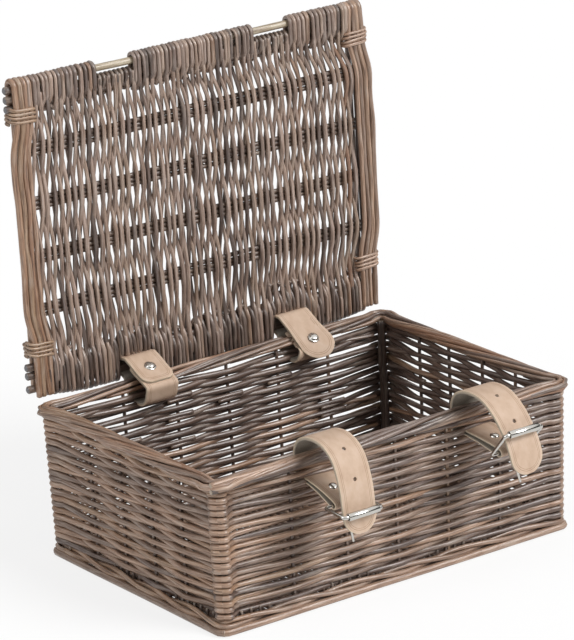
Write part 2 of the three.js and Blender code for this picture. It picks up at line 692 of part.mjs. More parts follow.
// Front edge: wraps over the front rod and the second stick, with a bare slot for each strap
function makeFrontWraps() {
  const round = LID_MID - LID_SKIN;
  const nose = lidY(LID_DEPTH) + round;
  const outline = [[lidY(FRONT_WRAP_S), LID_MID - round], [lidY(FRONT_WRAP_S), LID_MID + round]];
  for (let i = 0; i <= NOSE_STEPS; i += 1) {
    const turn = Math.PI * i / NOSE_STEPS;
    outline.push([nose - round * Math.sin(turn), LID_MID + round * Math.cos(turn)]);
  }
  const half = STRAP_WIDTH / 2 + 2 * LOOSE;
  const edges = [-LID_EDGE_X];
  STRAP_XS.forEach((x) => edges.push(x - half, x + half));
  edges.push(LID_EDGE_X);
  const bores = [FRONT_ROD_S, SECOND_STICK_S]
    .map((s) => crossStick(s, HALF_LENGTH, STICK_DIAMETER + 2 * CLEAR));
  ['left', 'middle', 'right'].forEach((name, i) => {
    const wrap = alongX(outline, edges[2 * i], edges[2 * i + 1]);
    add(lid, `lid_front_wrap_${name}`, cut(wrap, bores), WILLOW);
  });
}

// Corner bindings: a few turns round the side rods
function makeBindings() {
  const outerX = LID_EDGE_X + CLEAR;
  const innerX = LID_WEAVE_X;
  const reach = STICK_DIAMETER / 2 + CLEAR;
  const ring = (grow) => {
    const r = reach + grow;
    const shape = [];
    const centres = [outerX - reach, innerX + reach];
    centres.forEach((x, k) => {
      for (let i = 0; i <= BINDING_STEPS; i += 1) {
        const turn = Math.PI * (k + i / BINDING_STEPS) - Math.PI / 2;
        shape.push([LID_MID + r * Math.sin(turn), x + r * Math.cos(turn)]);
      }
    });
    return shape;
  };
  BINDING_PLACES.forEach((s, row) => {
    [['left', -1], ['right', 1]].forEach(([name, side]) => {
      const span = [lidY(s + BINDING_WIDTH / 2), lidY(s - BINDING_WIDTH / 2)];
      const flip = (points) => points.map(([t, x]) => [t, side * x]);
      const full = alongY(flip(ring(BINDING_THICKNESS)), span[0], span[1]);
      const hole = alongY(flip(ring(0)), span[0] - CUT_PAST, span[1] + CUT_PAST);
      const where = row === 0 ? 'hinge' : 'front';
      add(lid, `lid_${where}_${name}_binding`, cut(full, [hole]), WILLOW);
    });
  });
}

// Rivets: a domed head on a shank, with a flat cap under the leather
function rivet(grip) {
  const over = grip / 2 + CLEAR;
  const under = -over;
  return turned([
    [0, under - RIVET_CAP_HEIGHT],
    [RIVET_CAP / 2, under - RIVET_CAP_HEIGHT],
    [RIVET_CAP / 2, under],
    [RIVET_SHANK / 2, under],
    [RIVET_SHANK / 2, over],
    [RIVET_HEAD / 2, over],
    [RIVET_HEAD / 2, over + RIVET_EDGE],
    [RIVET_CROWN / 2, over + RIVET_CROWN_HEIGHT],
    [0, over + RIVET_HEIGHT],
  ], RIVET_SIDES);
}

// Puts a turned piece at (x, y, z) with its axis along (0, y, z) of the way given
function aim(geometry, x, place, way) {
  const turn = new THREE.Quaternion().setFromUnitVectors(
    new THREE.Vector3(0, 0, 1), new THREE.Vector3(0, way[0], way[1]).normalize());
  return geometry.applyQuaternion(turn).translate(x, place[0], place[1]);
}

function rivetHole(grip) {
  const reach = grip / 2 + RIVET_HEIGHT;
  return rod([0, 0, -reach], [0, 0, reach], RIVET_SHANK + 2 * CLEAR);
}

// Hinge loops: leather round the lid's hinge edge and the back rim, bulging into the basket
const HINGE_TIP = [HALF_WIDTH - BAND_WIDTH - HINGE_BULGE, RIM_TOP - HINGE_TIP_DROP];
const LOOP_PLAY = LEATHER / 2 + LOOSE;

function hingePath(slotIn, middle) {
  const inner = HALF_WIDTH - BAND_WIDTH;
  const slotOut = lidPlace(HINGE_SLOT_S, LID_THICKNESS + LOOSE);
  const bend = lidPlace(HINGE_SLOT_S - LEATHER, LID_THICKNESS + LOOP_PLAY + LOOSE);
  const behind = lidPlace(LOOSE, LID_THICKNESS + LOOP_PLAY + LOOSE);
  const corner = lidPlace(-LOOP_PLAY - CLEAR, LID_THICKNESS);
  const below = lidPlace(-LOOP_PLAY - CLEAR, LID_MID);
  return [
    slotIn,
    middle,
    [HINGE_TIP[0] + LEATHER, HINGE_TIP[1] + LEATHER],
    HINGE_TIP,
    [HINGE_TIP[0] + 1.5 * LEATHER, HINGE_TIP[1] - 2 * LEATHER],
    [inner - LEATHER, HINGE_PASS_Z + CLEAR],
    [HALF_WIDTH - BAND_WIDTH / 2, HINGE_PASS_Z],
    [HALF_WIDTH, HINGE_PASS_Z + LEATHER],
    [HALF_WIDTH + LOOP_PLAY, BAND_BOTTOM + LEATHER],
    [HALF_WIDTH + LOOP_PLAY + CLEAR, RIM_TOP - LEATHER],
    below,
    corner,
    behind,
    bend,
    slotOut,
    lidPlace(HINGE_SLOT_S, LID_MID),
    lidPlace(HINGE_SLOT_S, 0),
  ];
}

function makeHinges() {
  const slotIn = lidPlace(HINGE_SLOT_S, -LOOP_PLAY);
  const normal = [HINGE_TIP[1] - slotIn[1], slotIn[0] - HINGE_TIP[0]];
  const middle = [(slotIn[0] + HINGE_TIP[0]) / 2, (slotIn[1] + HINGE_TIP[1]) / 2 + CLEAR];
  const loop = smooth(hingePath(slotIn, middle), HINGE_STEPS, true);
  [['left', STRAP_LEFT_X], ['right', STRAP_RIGHT_X]].forEach(([name, x]) => {
    const band = ribbon(loop, LEATHER, { halfWidth: () => STRAP_WIDTH / 2, drift: () => x, closed: true });
    const hole = aim(rivetHole(LEATHER), x, middle, normal);
    add(basket, `${name}_hinge_loop`, cut(band, [hole]), HIDE);
    add(basket, `${name}_hinge_rivet`, aim(rivet(LEATHER), x, middle, normal), NICKEL);
  });
}

// Closing straps: up inside the front wall, over the rim, down through the buckle
function frontPlace([out, up]) {
  return [-(HALF_WIDTH + out), RIM_TOP + up];
}

const STRAP_ROOT_Z = TAB_ROOT_Z - TAB_LAYER - LEATHER;

function strapPath(closure) {
  const inside = HALF_WIDTH - BAND_WIDTH - LEATHER / 2 - CLEAR;
  const root = -flaredY(WALL_Y - WALL_THICKNESS, STRAP_ROOT_Z) + LEATHER / 2 + CLEAR;
  const chosen = [
    [root, STRAP_ROOT_Z],
    [-inside, BAND_BOTTOM],
    [-inside, RIM_TOP],
    frontPlace([STRAP_TURN_IN - BAND_WIDTH, STRAP_TURN_UP]),
  ].concat(closure.run.map(frontPlace));
  return smooth(chosen, STRAP_STEPS);
}

// How far along the strap each point lies
function distances(points) {
  let total = 0;
  return points.map((point, i) => {
    if (i > 0) {
      total += Math.hypot(point[0] - points[i - 1][0], point[1] - points[i - 1][1]);
    }
    return total;
  });
}

function makeStrap(closure) {
  const path = strapPath(closure);
  const along = distances(path);
  const length = along[STRAP_STEPS];
  const half = STRAP_WIDTH / 2;
  const blunt = Math.sqrt(1 - (TIP_FLAT / STRAP_WIDTH) ** 2);
  const halfWidth = (i) => {
    const past = Math.min(Math.max((along[i] - (length - half)) / half, 0), blunt);
    return half * Math.sqrt(1 - past * past);
  };
  const crest = path.reduce((best, point, i) => (point[1] > path[best][1] ? i : best), 0);
  const fall = length - along[crest];
  const drift = (i) => closure.x + closure.lean * Math.max(along[i] - along[crest], 0) / fall;
  const strap = ribbon(path, LEATHER, { halfWidth, drift });
  const holes = HOLES_FROM_TIP.map((fromTip) => {
    const i = along.findIndex((distance) => distance > length - fromTip);
    const way = [path[i + 1][0] - path[i - 1][0], path[i + 1][1] - path[i - 1][1]];
    const punch = rod([0, 0, -LEATHER], [0, 0, LEATHER], HOLE_DIAMETER);
    return aim(punch, drift(i), path[i], [-way[1], way[0]]);
  });
  add(basket, `${closure.name}_closing_strap`, cut(strap, holes), HIDE);
}

// Buckle tab: leather folded round the buckle's near bar, both layers through the front wall
const FOLD_RADIUS = WIRE_DIAMETER / 2 + CLEAR + LEATHER / 2;

function tabPath(bar) {
  const inner = -flaredY(WALL_Y - WALL_THICKNESS, TAB_ROOT_Z);
  const outer = -WALL_Y - LOOSE;
  const root = [outer, TAB_ROOT_Z];
  const way = Math.atan2(bar[1] - root[1], bar[0] - root[0]);
  const fold = [];
  for (let i = 0; i <= FOLD_STEPS; i += 1) {
    const turn = way - Math.PI / 2 + Math.PI * i / FOLD_STEPS;
    fold.push([bar[0] + FOLD_RADIUS * Math.cos(turn), bar[1] + FOLD_RADIUS * Math.sin(turn)]);
  }
  return [
    [inner, TAB_ROOT_Z + TAB_LAYER],
    [outer, TAB_ROOT_Z + TAB_LAYER],
    ...fold,
    [outer, TAB_ROOT_Z - TAB_LAYER],
    [inner, TAB_ROOT_Z - TAB_LAYER],
  ];
}

function makeTab(closure) {
  const bar = frontPlace(closure.bar);
  const root = [-WALL_Y - LOOSE, TAB_ROOT_Z];
  const x = closure.x + closure.shift;
  const band = ribbon(tabPath(bar), LEATHER, { halfWidth: () => TAB_WIDTH / 2, drift: () => x });
  const half = EYE_WIDTH / 2 + LOOSE;
  const reach = FOLD_RADIUS + LEATHER / 2 + CLEAR;
  const prongSlot = block(
    [x - half, bar[0] - reach, bar[1] - reach], [x + half, bar[0] + reach, bar[1] + reach]);
  const partWay = (from, to) => from + TAB_RIVET_SHARE * (to - from);
  const middle = [partWay(root[0], bar[0]), partWay(root[1], bar[1])];
  const grip = 2 * partWay(TAB_LAYER, FOLD_RADIUS) + LEATHER;
  const normal = [bar[1] - root[1], root[0] - bar[0]];
  const hole = aim(rivetHole(grip), x, middle, normal);
  add(basket, `${closure.name}_buckle_tab`, cut(band, [prongSlot, hole]), HIDE);
  add(basket, `${closure.name}_tab_rivet`, aim(rivet(grip), x, middle, normal), NICKEL);
}

// Buckle: a wire frame on the tab's fold, a roller on its far bar, and a prong on its near bar
const EYE_TUBE = PRONG_DIAMETER / 2;
const EYE_RADIUS = WIRE_DIAMETER / 2 + CLEAR + EYE_TUBE;
const EYE_WIDTH = 2 * EYE_TUBE;

function wireLoop(length) {
  const x = FRAME_WIDTH / 2 - WIRE_DIAMETER / 2;
  const r = FRAME_CORNER;
  const corners = [[x, 0], [x, -length], [-x, -length], [-x, 0]]
    .map(([u, v]) => new THREE.Vector3(u, v, 0));
  const path = new THREE.CurvePath();
  corners.forEach((corner, i) => {
    const before = corners[(i + 3) % 4];
    const after = corners[(i + 1) % 4];
    const enter = corner.clone().addScaledVector(before.clone().sub(corner).normalize(), r);
    const leave = corner.clone().addScaledVector(after.clone().sub(corner).normalize(), r);
    const next = after.clone().addScaledVector(corner.clone().sub(after).normalize(), r);
    path.add(new THREE.QuadraticBezierCurve3(enter, corner, leave));
    path.add(new THREE.LineCurve3(leave, next));
  });
  return new THREE.TubeGeometry(path, FRAME_STEPS, WIRE_DIAMETER / 2, THIN_SIDES, true);
}

function makeBuckle(closure) {
  const bar = frontPlace(closure.bar);
  const far = frontPlace(closure.roller);
  const length = Math.hypot(far[0] - bar[0], far[1] - bar[1]);
  const swing = Math.atan2(far[1] - bar[1], bar[0] - far[0]);
  const buckle = new THREE.Group();
  buckle.position.set(closure.x + closure.shift, bar[0], bar[1]);
  buckle.rotation.x = -swing;
  basket.add(buckle);
  add(buckle, `${closure.name}_buckle_frame`, wireLoop(length), NICKEL);
  const bore = WIRE_DIAMETER / 2 + CLEAR;
  const wall = ROLLER_DIAMETER / 2;
  const reach = ROLLER_LENGTH / 2;
  const tube = turned(
    [[bore, -reach], [wall, -reach], [wall, reach], [bore, reach], [bore, -reach]], ROLLER_SIDES);
  tube.rotateY(Math.PI / 2).translate(0, -length, 0);
  add(buckle, `${closure.name}_buckle_roller`, tube, NICKEL);
  const eye = new THREE.TorusGeometry(EYE_RADIUS, EYE_TUBE, THIN_SIDES, ROLLER_SIDES);
  eye.rotateY(Math.PI / 2);
  const shaft = rod([0, 0, -EYE_RADIUS], [0, 0, -PRONG_LENGTH], PRONG_DIAMETER, THIN_SIDES);
  const prong = join([eye, shaft]).translate(closure.x + closure.shift, bar[0], bar[1]);
  add(basket, `${closure.name}_buckle_prong`, prong, NICKEL);
}

makeBase();
makeFoot();
makeWalls();
makeCorners();
makeRim();
makeLidWeave();
makeLidSticks();
makeFrontWraps();
makeBindings();
makeHinges();
CLOSURES.forEach((closure) => {
  makeStrap(closure);
  makeTab(closure);
  makeBuckle(closure);
});

export default basket;
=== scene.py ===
# %% [markdown]
# # A willow picnic basket
#
# The basket is woven from whole willow rods. Its lid stands open on two leather loops, and two leather
# straps with roller buckles hang over the front rim. Everything here is drawn in millimetres and scaled to
# metres when a mesh is made, because a maker thinks of rods in millimetres.

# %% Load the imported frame
import math
from collections import namedtuple

import bpy
import numpy as np
from mathutils import Matrix, Vector


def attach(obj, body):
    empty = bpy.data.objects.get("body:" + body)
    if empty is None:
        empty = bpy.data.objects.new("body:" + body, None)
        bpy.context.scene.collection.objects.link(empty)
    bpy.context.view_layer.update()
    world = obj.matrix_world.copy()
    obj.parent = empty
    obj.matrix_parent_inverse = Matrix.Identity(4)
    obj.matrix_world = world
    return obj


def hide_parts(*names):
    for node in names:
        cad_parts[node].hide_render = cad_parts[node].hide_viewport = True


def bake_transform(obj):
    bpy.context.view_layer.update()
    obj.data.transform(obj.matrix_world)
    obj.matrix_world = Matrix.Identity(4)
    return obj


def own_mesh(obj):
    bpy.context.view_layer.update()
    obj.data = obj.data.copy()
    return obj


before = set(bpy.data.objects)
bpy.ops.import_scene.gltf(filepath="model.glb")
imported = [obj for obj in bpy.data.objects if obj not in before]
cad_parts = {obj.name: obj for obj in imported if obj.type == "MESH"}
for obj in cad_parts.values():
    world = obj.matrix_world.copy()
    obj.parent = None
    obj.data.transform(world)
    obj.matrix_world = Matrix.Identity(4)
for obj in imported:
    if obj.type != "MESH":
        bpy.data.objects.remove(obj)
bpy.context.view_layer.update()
bpy.ops.object.select_all(action="DESELECT")
MM = 0.001
rng = np.random.default_rng(11)

# %% [markdown]
# ## Camera
#
# A long lens from a little above the rim shows the front, the left end and the inside of the open lid. The
# camera could be aimed with a constraint, but a plain turn is easier to read back: which way it looks, how
# far it is raised, and the slight tilt that the picture was taken with.

# %% Camera
TURN, RISE, TILT = -34.621, 18.520, -3.096
CAMERA_AT = (-1.659165, -2.389127, 1.136550)
FOCUS_PIXELS, PICTURE_PIXELS, SENSOR = 4500, 640, 36

turn, rise, tilt = (math.radians(angle) for angle in (TURN, RISE, TILT))
back = Vector((math.sin(turn) * math.cos(rise), -math.cos(turn) * math.cos(rise), math.sin(rise)))
level = Vector((math.cos(turn), math.sin(turn), 0))
upright = back.cross(level)
camera_x = level * math.cos(tilt) + upright * math.sin(tilt)
camera_y = upright * math.cos(tilt) - level * math.sin(tilt)
facing = Matrix((camera_x, camera_y, back)).transposed()
bpy.ops.object.camera_add(location=CAMERA_AT, rotation=facing.to_euler())
camera = bpy.context.object
camera.data.sensor_width = SENSOR
camera.data.lens = FOCUS_PIXELS / PICTURE_PIXELS * SENSOR
bpy.context.scene.camera = camera
bpy.context.scene.view_settings.view_transform = "Standard"
print("camera", round(camera.data.lens), "mm lens")

# %% [markdown]
# ## Light and floor
#
# A white studio: an even sky, a large soft lamp high on the right in front, a weaker one on the left, and
# white paper on the floor that keeps a faint shadow. Looked at, sky and paper are white, but they light the
# basket at a plain level, so that colours come out as they are written. Bright metal is drawn by what it
# mirrors, and in a purely white room it would look like chalk, so its reflections have the darker lower
# walls that every studio has. Nodes could be wired by hand, but the same few turn up everywhere, so small
# helpers make them.

# %% Helpers for nodes
WHITE = (1, 1, 1, 1)


def hex_colour(code):
    parts = [int(code[i:i + 2], 16) / 255 for i in (1, 3, 5)]
    linear = [c / 12.92 if c <= 0.04045 else ((c + 0.055) / 1.055) ** 2.4 for c in parts]
    return (*linear, 1.0)


def new_node(tree, kind, **inputs):
    node = tree.nodes.new(kind)
    for socket, value in inputs.items():
        node.inputs[socket.replace("_", " ")].default_value = value
    return node


def maths(tree, operation, first, second):
    node = tree.nodes.new("ShaderNodeMath")
    node.operation = operation
    for socket, value in zip(node.inputs, (first, second)):
        if isinstance(value, (int, float)):
            socket.default_value = value
        else:
            tree.links.new(value, socket)
    return node.outputs[0]


def ramp(tree, value, stops):
    node = tree.nodes.new("ShaderNodeValToRGB")
    band = node.color_ramp
    for place, _ in stops[1:-1]:
        band.elements.new(place)
    for element, (place, code) in zip(band.elements, stops):
        element.position = place
        element.color = hex_colour(code)
    tree.links.new(value, node.inputs["Fac"])
    return node.outputs["Color"]


def spread(tree, value, low, high, to_low=0.0, to_high=1.0):
    node = new_node(tree, "ShaderNodeMapRange", From_Min=low, From_Max=high, To_Min=to_low, To_Max=to_high)
    tree.links.new(value, node.inputs["Value"])
    return node.outputs["Result"]


print("white is", hex_colour("#FFFFFF"))

# %% Helpers for surfaces
def mix_shaders(tree, mask, first, second):
    node = tree.nodes.new("ShaderNodeMixShader")
    for socket, value in zip(node.inputs, (mask, first, second)):
        tree.links.new(value, socket)
    return node.outputs[0]


def surface(name, **constants):
    """A new material, its nodes and its shader, with constants on the shader's own sockets."""
    material = bpy.data.materials.new(name)
    material.use_nodes = True
    shader = material.node_tree.nodes["Principled BSDF"]
    for socket, value in constants.items():
        shader.inputs[socket.replace("_", " ")].default_value = value
    return material, material.node_tree, shader


def seen(tree):
    """Masks of what is looked at, straight or in a reflection, and of what is only mirrored."""
    path = tree.nodes.new("ShaderNodeLightPath")
    straight = maths(tree, "MAXIMUM", path.outputs["Is Camera Ray"], path.outputs["Is Transmission Ray"])
    return maths(tree, "MAXIMUM", straight, path.outputs["Is Glossy Ray"]), path.outputs["Is Glossy Ray"]


print("helpers for surfaces: mix_shaders, surface, seen")

# %% Sky
SKY_LIGHT = 0.40
STUDIO_WALLS = [(0.46, "#FFFFFF"), (0.50, "#1F1E1E"), (0.64, "#2E2D2C"), (0.72, "#FFFFFF")]

studio = bpy.data.worlds.new("studio")
bpy.context.scene.world = studio
studio.use_nodes = True
sky = studio.node_tree
sky.nodes.clear()
looked_at, mirrored = seen(sky)
direction = sky.nodes.new("ShaderNodeSeparateXYZ")
sky.links.new(sky.nodes.new("ShaderNodeTexCoord").outputs["Generated"], direction.inputs[0])
mirror = sky.nodes.new("ShaderNodeBackground")
studio_walls = ramp(sky, spread(sky, direction.outputs["Z"], -1.0, 1.0), STUDIO_WALLS)
sky.links.new(studio_walls, mirror.inputs["Color"])
white = new_node(sky, "ShaderNodeBackground", Color=WHITE, Strength=1.0)
lighting = new_node(sky, "ShaderNodeBackground", Color=WHITE, Strength=SKY_LIGHT)
shown = mix_shaders(sky, looked_at, lighting.outputs[0], white.outputs[0])
shown = mix_shaders(sky, mirrored, shown, mirror.outputs[0])
sky.links.new(shown, sky.nodes.new("ShaderNodeOutputWorld").inputs["Surface"])
print("sky", SKY_LIGHT)

# %% Lamps
LAMPS = (("front_lamp", (50, 0, 30), 2.5), ("left_lamp", (60, 0, -95), 0.62))
LAMP_SPREAD = math.radians(30)

for name, angles, energy in LAMPS:
    bpy.ops.object.light_add(type="SUN", rotation=[math.radians(angle) for angle in angles])
    lamp = bpy.context.object
    lamp.name = name
    lamp.data.energy = energy
    lamp.data.angle = LAMP_SPREAD
print("lamps", [energy for _, _, energy in LAMPS])

# %% Floor paper
PAPER_SIZE, PAPER_WHITE = 8, 0.8

bpy.ops.mesh.primitive_plane_add(size=PAPER_SIZE)
floor = bpy.context.object
floor.name = "floor"
paper, tree, matt = surface("floor paper", Base_Color=WHITE, Roughness=0.9, Specular_IOR_Level=0)
glow = new_node(tree, "ShaderNodeEmission", Color=WHITE, Strength=1.0)
whiter = maths(tree, "MULTIPLY", seen(tree)[0], PAPER_WHITE)
shown = mix_shaders(tree, whiter, matt.outputs[0], glow.outputs[0])
tree.links.new(shown, tree.nodes["Material Output"].inputs["Surface"])
floor.data.materials.append(paper)
print("paper", PAPER_SIZE, "m")

# %% [markdown]
# ## Willow bark
#
# The rods were boiled and steamed before weaving, so their skin runs from grey brown to orange brown, each
# rod with its own tone, streaked along its length. One node group makes the streaks, the blotches and the
# cut ends from three things that each rod carries: its tone, its grain (a place measured round and
# along the rod) and a mark on its cut ends. An image could be wrapped round instead, but would repeat.

# %% The bark group
def stretched_noise(tree, vector, stretch, detail):
    scale = tree.nodes.new("ShaderNodeVectorMath")
    scale.operation = "MULTIPLY"
    scale.inputs[1].default_value = stretch
    tree.links.new(vector, scale.inputs[0])
    noise = new_node(tree, "ShaderNodeTexNoise", Scale=1.0, Detail=detail, Roughness=0.6)
    tree.links.new(scale.outputs[0], noise.inputs["Vector"])
    return noise.outputs["Fac"]


def mix_colour(tree, blend, factor, first, second):
    node = tree.nodes.new("ShaderNodeMix")
    node.data_type = "RGBA"
    node.blend_type = blend
    for name, value in (("Factor_Float", factor), ("A_Color", first), ("B_Color", second)):
        socket = next(s for s in node.inputs if s.identifier == name)
        if hasattr(value, "links"):
            tree.links.new(value, socket)
        else:
            socket.default_value = value
    return next(s for s in node.outputs if s.identifier == "Result_Color")


bark = bpy.data.node_groups.new("bark", "ShaderNodeTree")
for name, kind in (("Colour", "Color"), ("Grain", "Vector"), ("Cut", "Float"), ("Pith", "Color")):
    bark.interface.new_socket(name, in_out="INPUT", socket_type="NodeSocket" + kind)
for name, kind in (("Colour", "Color"), ("Roughness", "Float"), ("Height", "Float")):
    bark.interface.new_socket(name, in_out="OUTPUT", socket_type="NodeSocket" + kind)
bark_in = bark.nodes.new("NodeGroupInput")
bark_out = bark.nodes.new("NodeGroupOutput")
grain = bark_in.outputs["Grain"]
streak = stretched_noise(bark, grain, (1.3, 1.3, 0.05), 4.0)
blotch = stretched_noise(bark, grain, (0.3, 0.3, 0.06), 2.0)
speck = stretched_noise(bark, grain, (0.9, 0.9, 0.45), 1.0)
streaks = ramp(bark, streak, [(0.28, "#6B5748"), (0.48, "#D2C6BC"), (0.66, "#FFFFFF")])
skin = mix_colour(bark, "MULTIPLY", 1.0, bark_in.outputs["Colour"], streaks)
for noise, low, high, most, code in (
        (blotch, 0.52, 0.75, 0.5, "#AFA092"), (blotch, 0.45, 0.25, 0.5, "#6B4F3C"),
        (speck, 0.70, 0.78, 0.6, "#4A372B")):
    stain = spread(bark, noise, low, high, 0.0, most)
    skin = mix_colour(bark, "MIX", stain, skin, hex_colour(code))
skin = mix_colour(bark, "MIX", bark_in.outputs["Cut"], skin, bark_in.outputs["Pith"])
bark.links.new(skin, bark_out.inputs["Colour"])
bark.links.new(spread(bark, streak, 0.3, 0.7, 0.5, 0.3), bark_out.inputs["Roughness"])
bark.links.new(maths(bark, "ADD", streak, maths(bark, "MULTIPLY", speck, 0.5)), bark_out.inputs["Height"])
print("bark group with", len(bark.nodes), "nodes")

# %% Willow, grey willow, dark willow and peeled rod
BUMP_DEPTH = 0.0004


def attribute(tree, name, output="Fac"):
    node = tree.nodes.new("ShaderNodeAttribute")
    node.attribute_name = name
    return node.outputs[output]


def bump(tree, height, shader, strength):
    node = new_node(tree, "ShaderNodeBump", Strength=strength, Distance=BUMP_DEPTH)
    tree.links.new(height, node.inputs["Height"])
    tree.links.new(node.outputs["Normal"], shader.inputs["Normal"])


def rod_finish(name, pith, stops):
    """Bark over a ramp of tones, from the darkest rods to the most orange ones."""
    material, tree, shader = surface(name, Specular_IOR_Level=0.9)
    group = tree.nodes.new("ShaderNodeGroup")
    group.node_tree = bark
    group.inputs["Pith"].default_value = hex_colour(pith)
    tree.links.new(ramp(tree, attribute(tree, "tone"), stops), group.inputs["Colour"])
    tree.links.new(attribute(tree, "grain", "Vector"), group.inputs["Grain"])
    tree.links.new(attribute(tree, "cut"), group.inputs["Cut"])
    tree.links.new(group.outputs["Colour"], shader.inputs["Base Color"])
    tree.links.new(group.outputs["Roughness"], shader.inputs["Roughness"])
    bump(tree, group.outputs["Height"], shader, 0.35)
    return material


willow = rod_finish("willow", "#A3927F", [
    (0.0, "#564840"), (0.1, "#6D5C55"), (0.22, "#897569"), (0.4, "#A48B79"), (0.6, "#BFA18B"),
    (0.75, "#B0957B"), (0.88, "#AE8B71"), (1.0, "#A07A60")])
willow_grey = rod_finish("grey willow", "#84756A", [
    (0.0, "#564840"), (0.1, "#6D5F59"), (0.22, "#8B7C75"), (0.4, "#A6958C"), (0.6, "#C2AEA2"),
    (0.75, "#B4A191"), (0.88, "#AE937F"), (1.0, "#A07E68")])
willow_dark = rod_finish("dark willow", "#5B595C", [(0.0, "#63554F"), (0.5, "#78685E"), (1.0, "#8A7A6E")])
peeled = rod_finish("peeled rod", "#5B595C", [(0.0, "#B9B3A0"), (1.0, "#CBBFA6")])
print("finishes:", [material.name for material in (willow, willow_grey, willow_dark, peeled)])

# %% [markdown]
# ## A helper for rods
#
# Each rod is a tube along a path. Blender's curves can be given a round bevel, but here hundreds of rods
# must carry their own tone and grain, so the rings are laid round each path in code and joined as one mesh.
# Every rod gets rounded cut ends. `up` is a direction that the rod never runs along, and keeps it from
# twisting.

# %% Paths of rods
CAP_PAST, CAP_RADIUS = 0.3, 0.62


def rod(path, radius, tone, up=(0, 0, 1)):
    path = np.asarray(path, float)
    return path, np.broadcast_to(np.asarray(radius, float), len(path)), tone, np.asarray(up, float)


def unit(vectors):
    return vectors / np.linalg.norm(vectors, axis=-1, keepdims=True)


def run_along(line):
    """The distance along a line, at each of its points."""
    return np.concatenate([[0], np.cumsum(np.linalg.norm(np.diff(line, axis=0), axis=1))])


def between(at, run, field):
    """A field's values at given runs, column by column."""
    return np.column_stack([np.interp(at, run, column) for column in field.T])


def ease(at, stations, values, soft=1.0):
    """Values that swing from station to station: smoothly, or nearly straight where soft is small."""
    stations, values = np.asarray(stations, float), np.asarray(values, float)
    span = np.clip(np.searchsorted(stations, at, side="right") - 1, 0, len(stations) - 2)
    share = np.clip((at - stations[span]) / (stations[span + 1] - stations[span]), 0, 1)
    share += soft * ((1 - np.cos(np.pi * share)) / 2 - share)
    return values[span] * (1 - share) + values[span + 1] * share


def capped(path, radius):
    """The path with one small ring past each end, so that a cut end is rounded."""
    first, last = unit(path[0] - path[1]), unit(path[-1] - path[-2])
    ends = path[0] + first * radius[0] * CAP_PAST, path[-1] + last * radius[-1] * CAP_PAST
    radius = np.concatenate([[radius[0] * CAP_RADIUS], radius, [radius[-1] * CAP_RADIUS]])
    return np.vstack([ends[0], path, ends[1]]), radius


print("halfway between 0 and 1:", ease(0.5, [0, 1], [0, 1]))

# %% Rings and faces
def rod_rings(path, radius, up, sides, closed):
    step = np.roll(path, -1, 0) - np.roll(path, 1, 0) if closed else np.gradient(path, axis=0)
    ahead = unit(step)
    across = unit(np.cross(up, ahead))
    over = np.cross(ahead, across)
    angle = np.arange(sides) * 2 * np.pi / sides
    ring = across[:, None] * np.cos(angle)[:, None] + over[:, None] * np.sin(angle)[:, None]
    girth = np.stack(np.broadcast_arrays(np.cos(angle), np.sin(angle)), 1) * radius[:, None, None]
    length = np.broadcast_to(run_along(path)[:, None, None], (len(path), sides, 1))
    return path[:, None] + ring * radius[:, None, None], np.concatenate([girth, length], 2)


def ring_quads(grid):
    """Faces from each ring of points to the next, and from the last ring to the first."""
    after = np.roll(grid, -1, 0)
    return np.stack([grid, np.roll(grid, -1, 1), np.roll(after, -1, 1), after], 2)


def rod_faces(count, sides, start, closed):
    grid = start + np.arange(count * sides).reshape(count, sides)
    quads = ring_quads(grid)[:count if closed else count - 1]
    ends = [] if closed else [grid[0, ::-1].tolist(), grid[-1].tolist()]
    return quads.reshape(-1, 4).tolist(), ends


print("10 rings of 8 points have", len(rod_faces(10, 8, 0, False)[0]), "faces")

# %% Pieces
def new_piece(name, points, faces, flats, material):
    """An object with its place in its mesh: smooth faces, and flat ones at its ends."""
    mesh = bpy.data.meshes.new(name)
    mesh.from_pydata(np.asarray(points) * MM, [], faces + flats)
    mesh.polygons.foreach_set("use_smooth", [True] * len(faces) + [False] * len(flats))
    mesh.materials.append(material)
    piece = bpy.data.objects.new(name, mesh)
    bpy.context.collection.objects.link(piece)
    return piece


def mark_points(piece, title, values):
    """Keeps a number or a place with each point, for the material to read."""
    values = np.asarray(values, np.float32)
    kind, field = ("FLOAT", "value") if values.ndim == 1 else ("FLOAT_VECTOR", "vector")
    layer = piece.data.attributes.new(title, kind, "POINT")
    layer.data.foreach_set(field, values.ravel())


def rods_piece(name, rods, material, sides=8, ends="cut"):
    """One mesh of many rods, each with its tone and grain. Its ends are cut, flat, or joined in a loop."""
    points, grains, tones, cuts, faces, flats = [], [], [], [], [], []
    start = 0
    for path, radius, tone, up in rods:
        if ends == "cut":
            path, radius = capped(path, radius)
        rings, grain = rod_rings(path, radius, up, sides, ends == "loop")
        body, caps = rod_faces(len(path), sides, start, ends == "loop")
        cut = np.zeros(len(path))
        cut[[0, -1]] = ends == "cut"
        faces += body
        flats += caps
        points.append(rings.reshape(-1, 3))
        grains.append(grain.reshape(-1, 3) + rng.uniform(0, 900, 3))
        shade = np.interp(np.linspace(0, 1, len(path)), np.linspace(0, 1, np.size(tone)), np.ravel(tone))
        tones.append(np.repeat(shade, sides))
        cuts.append(np.repeat(cut, sides))
        start += len(path) * sides
    piece = new_piece(name, np.concatenate(points), faces, flats, material)
    for title, values in (("tone", tones), ("cut", cuts), ("grain", grains)):
        mark_points(piece, title, np.concatenate(values))
    return piece


def settle(piece, body, slot, *nodes):
    """Puts a finished piece on its body, and in place of the solids that it stands for."""
    if body:
        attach(piece, body)
    if nodes:
        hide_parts(*nodes)
    print(piece.name, len(piece.data.polygons), "faces")


print("helpers for pieces: rods_piece, settle")

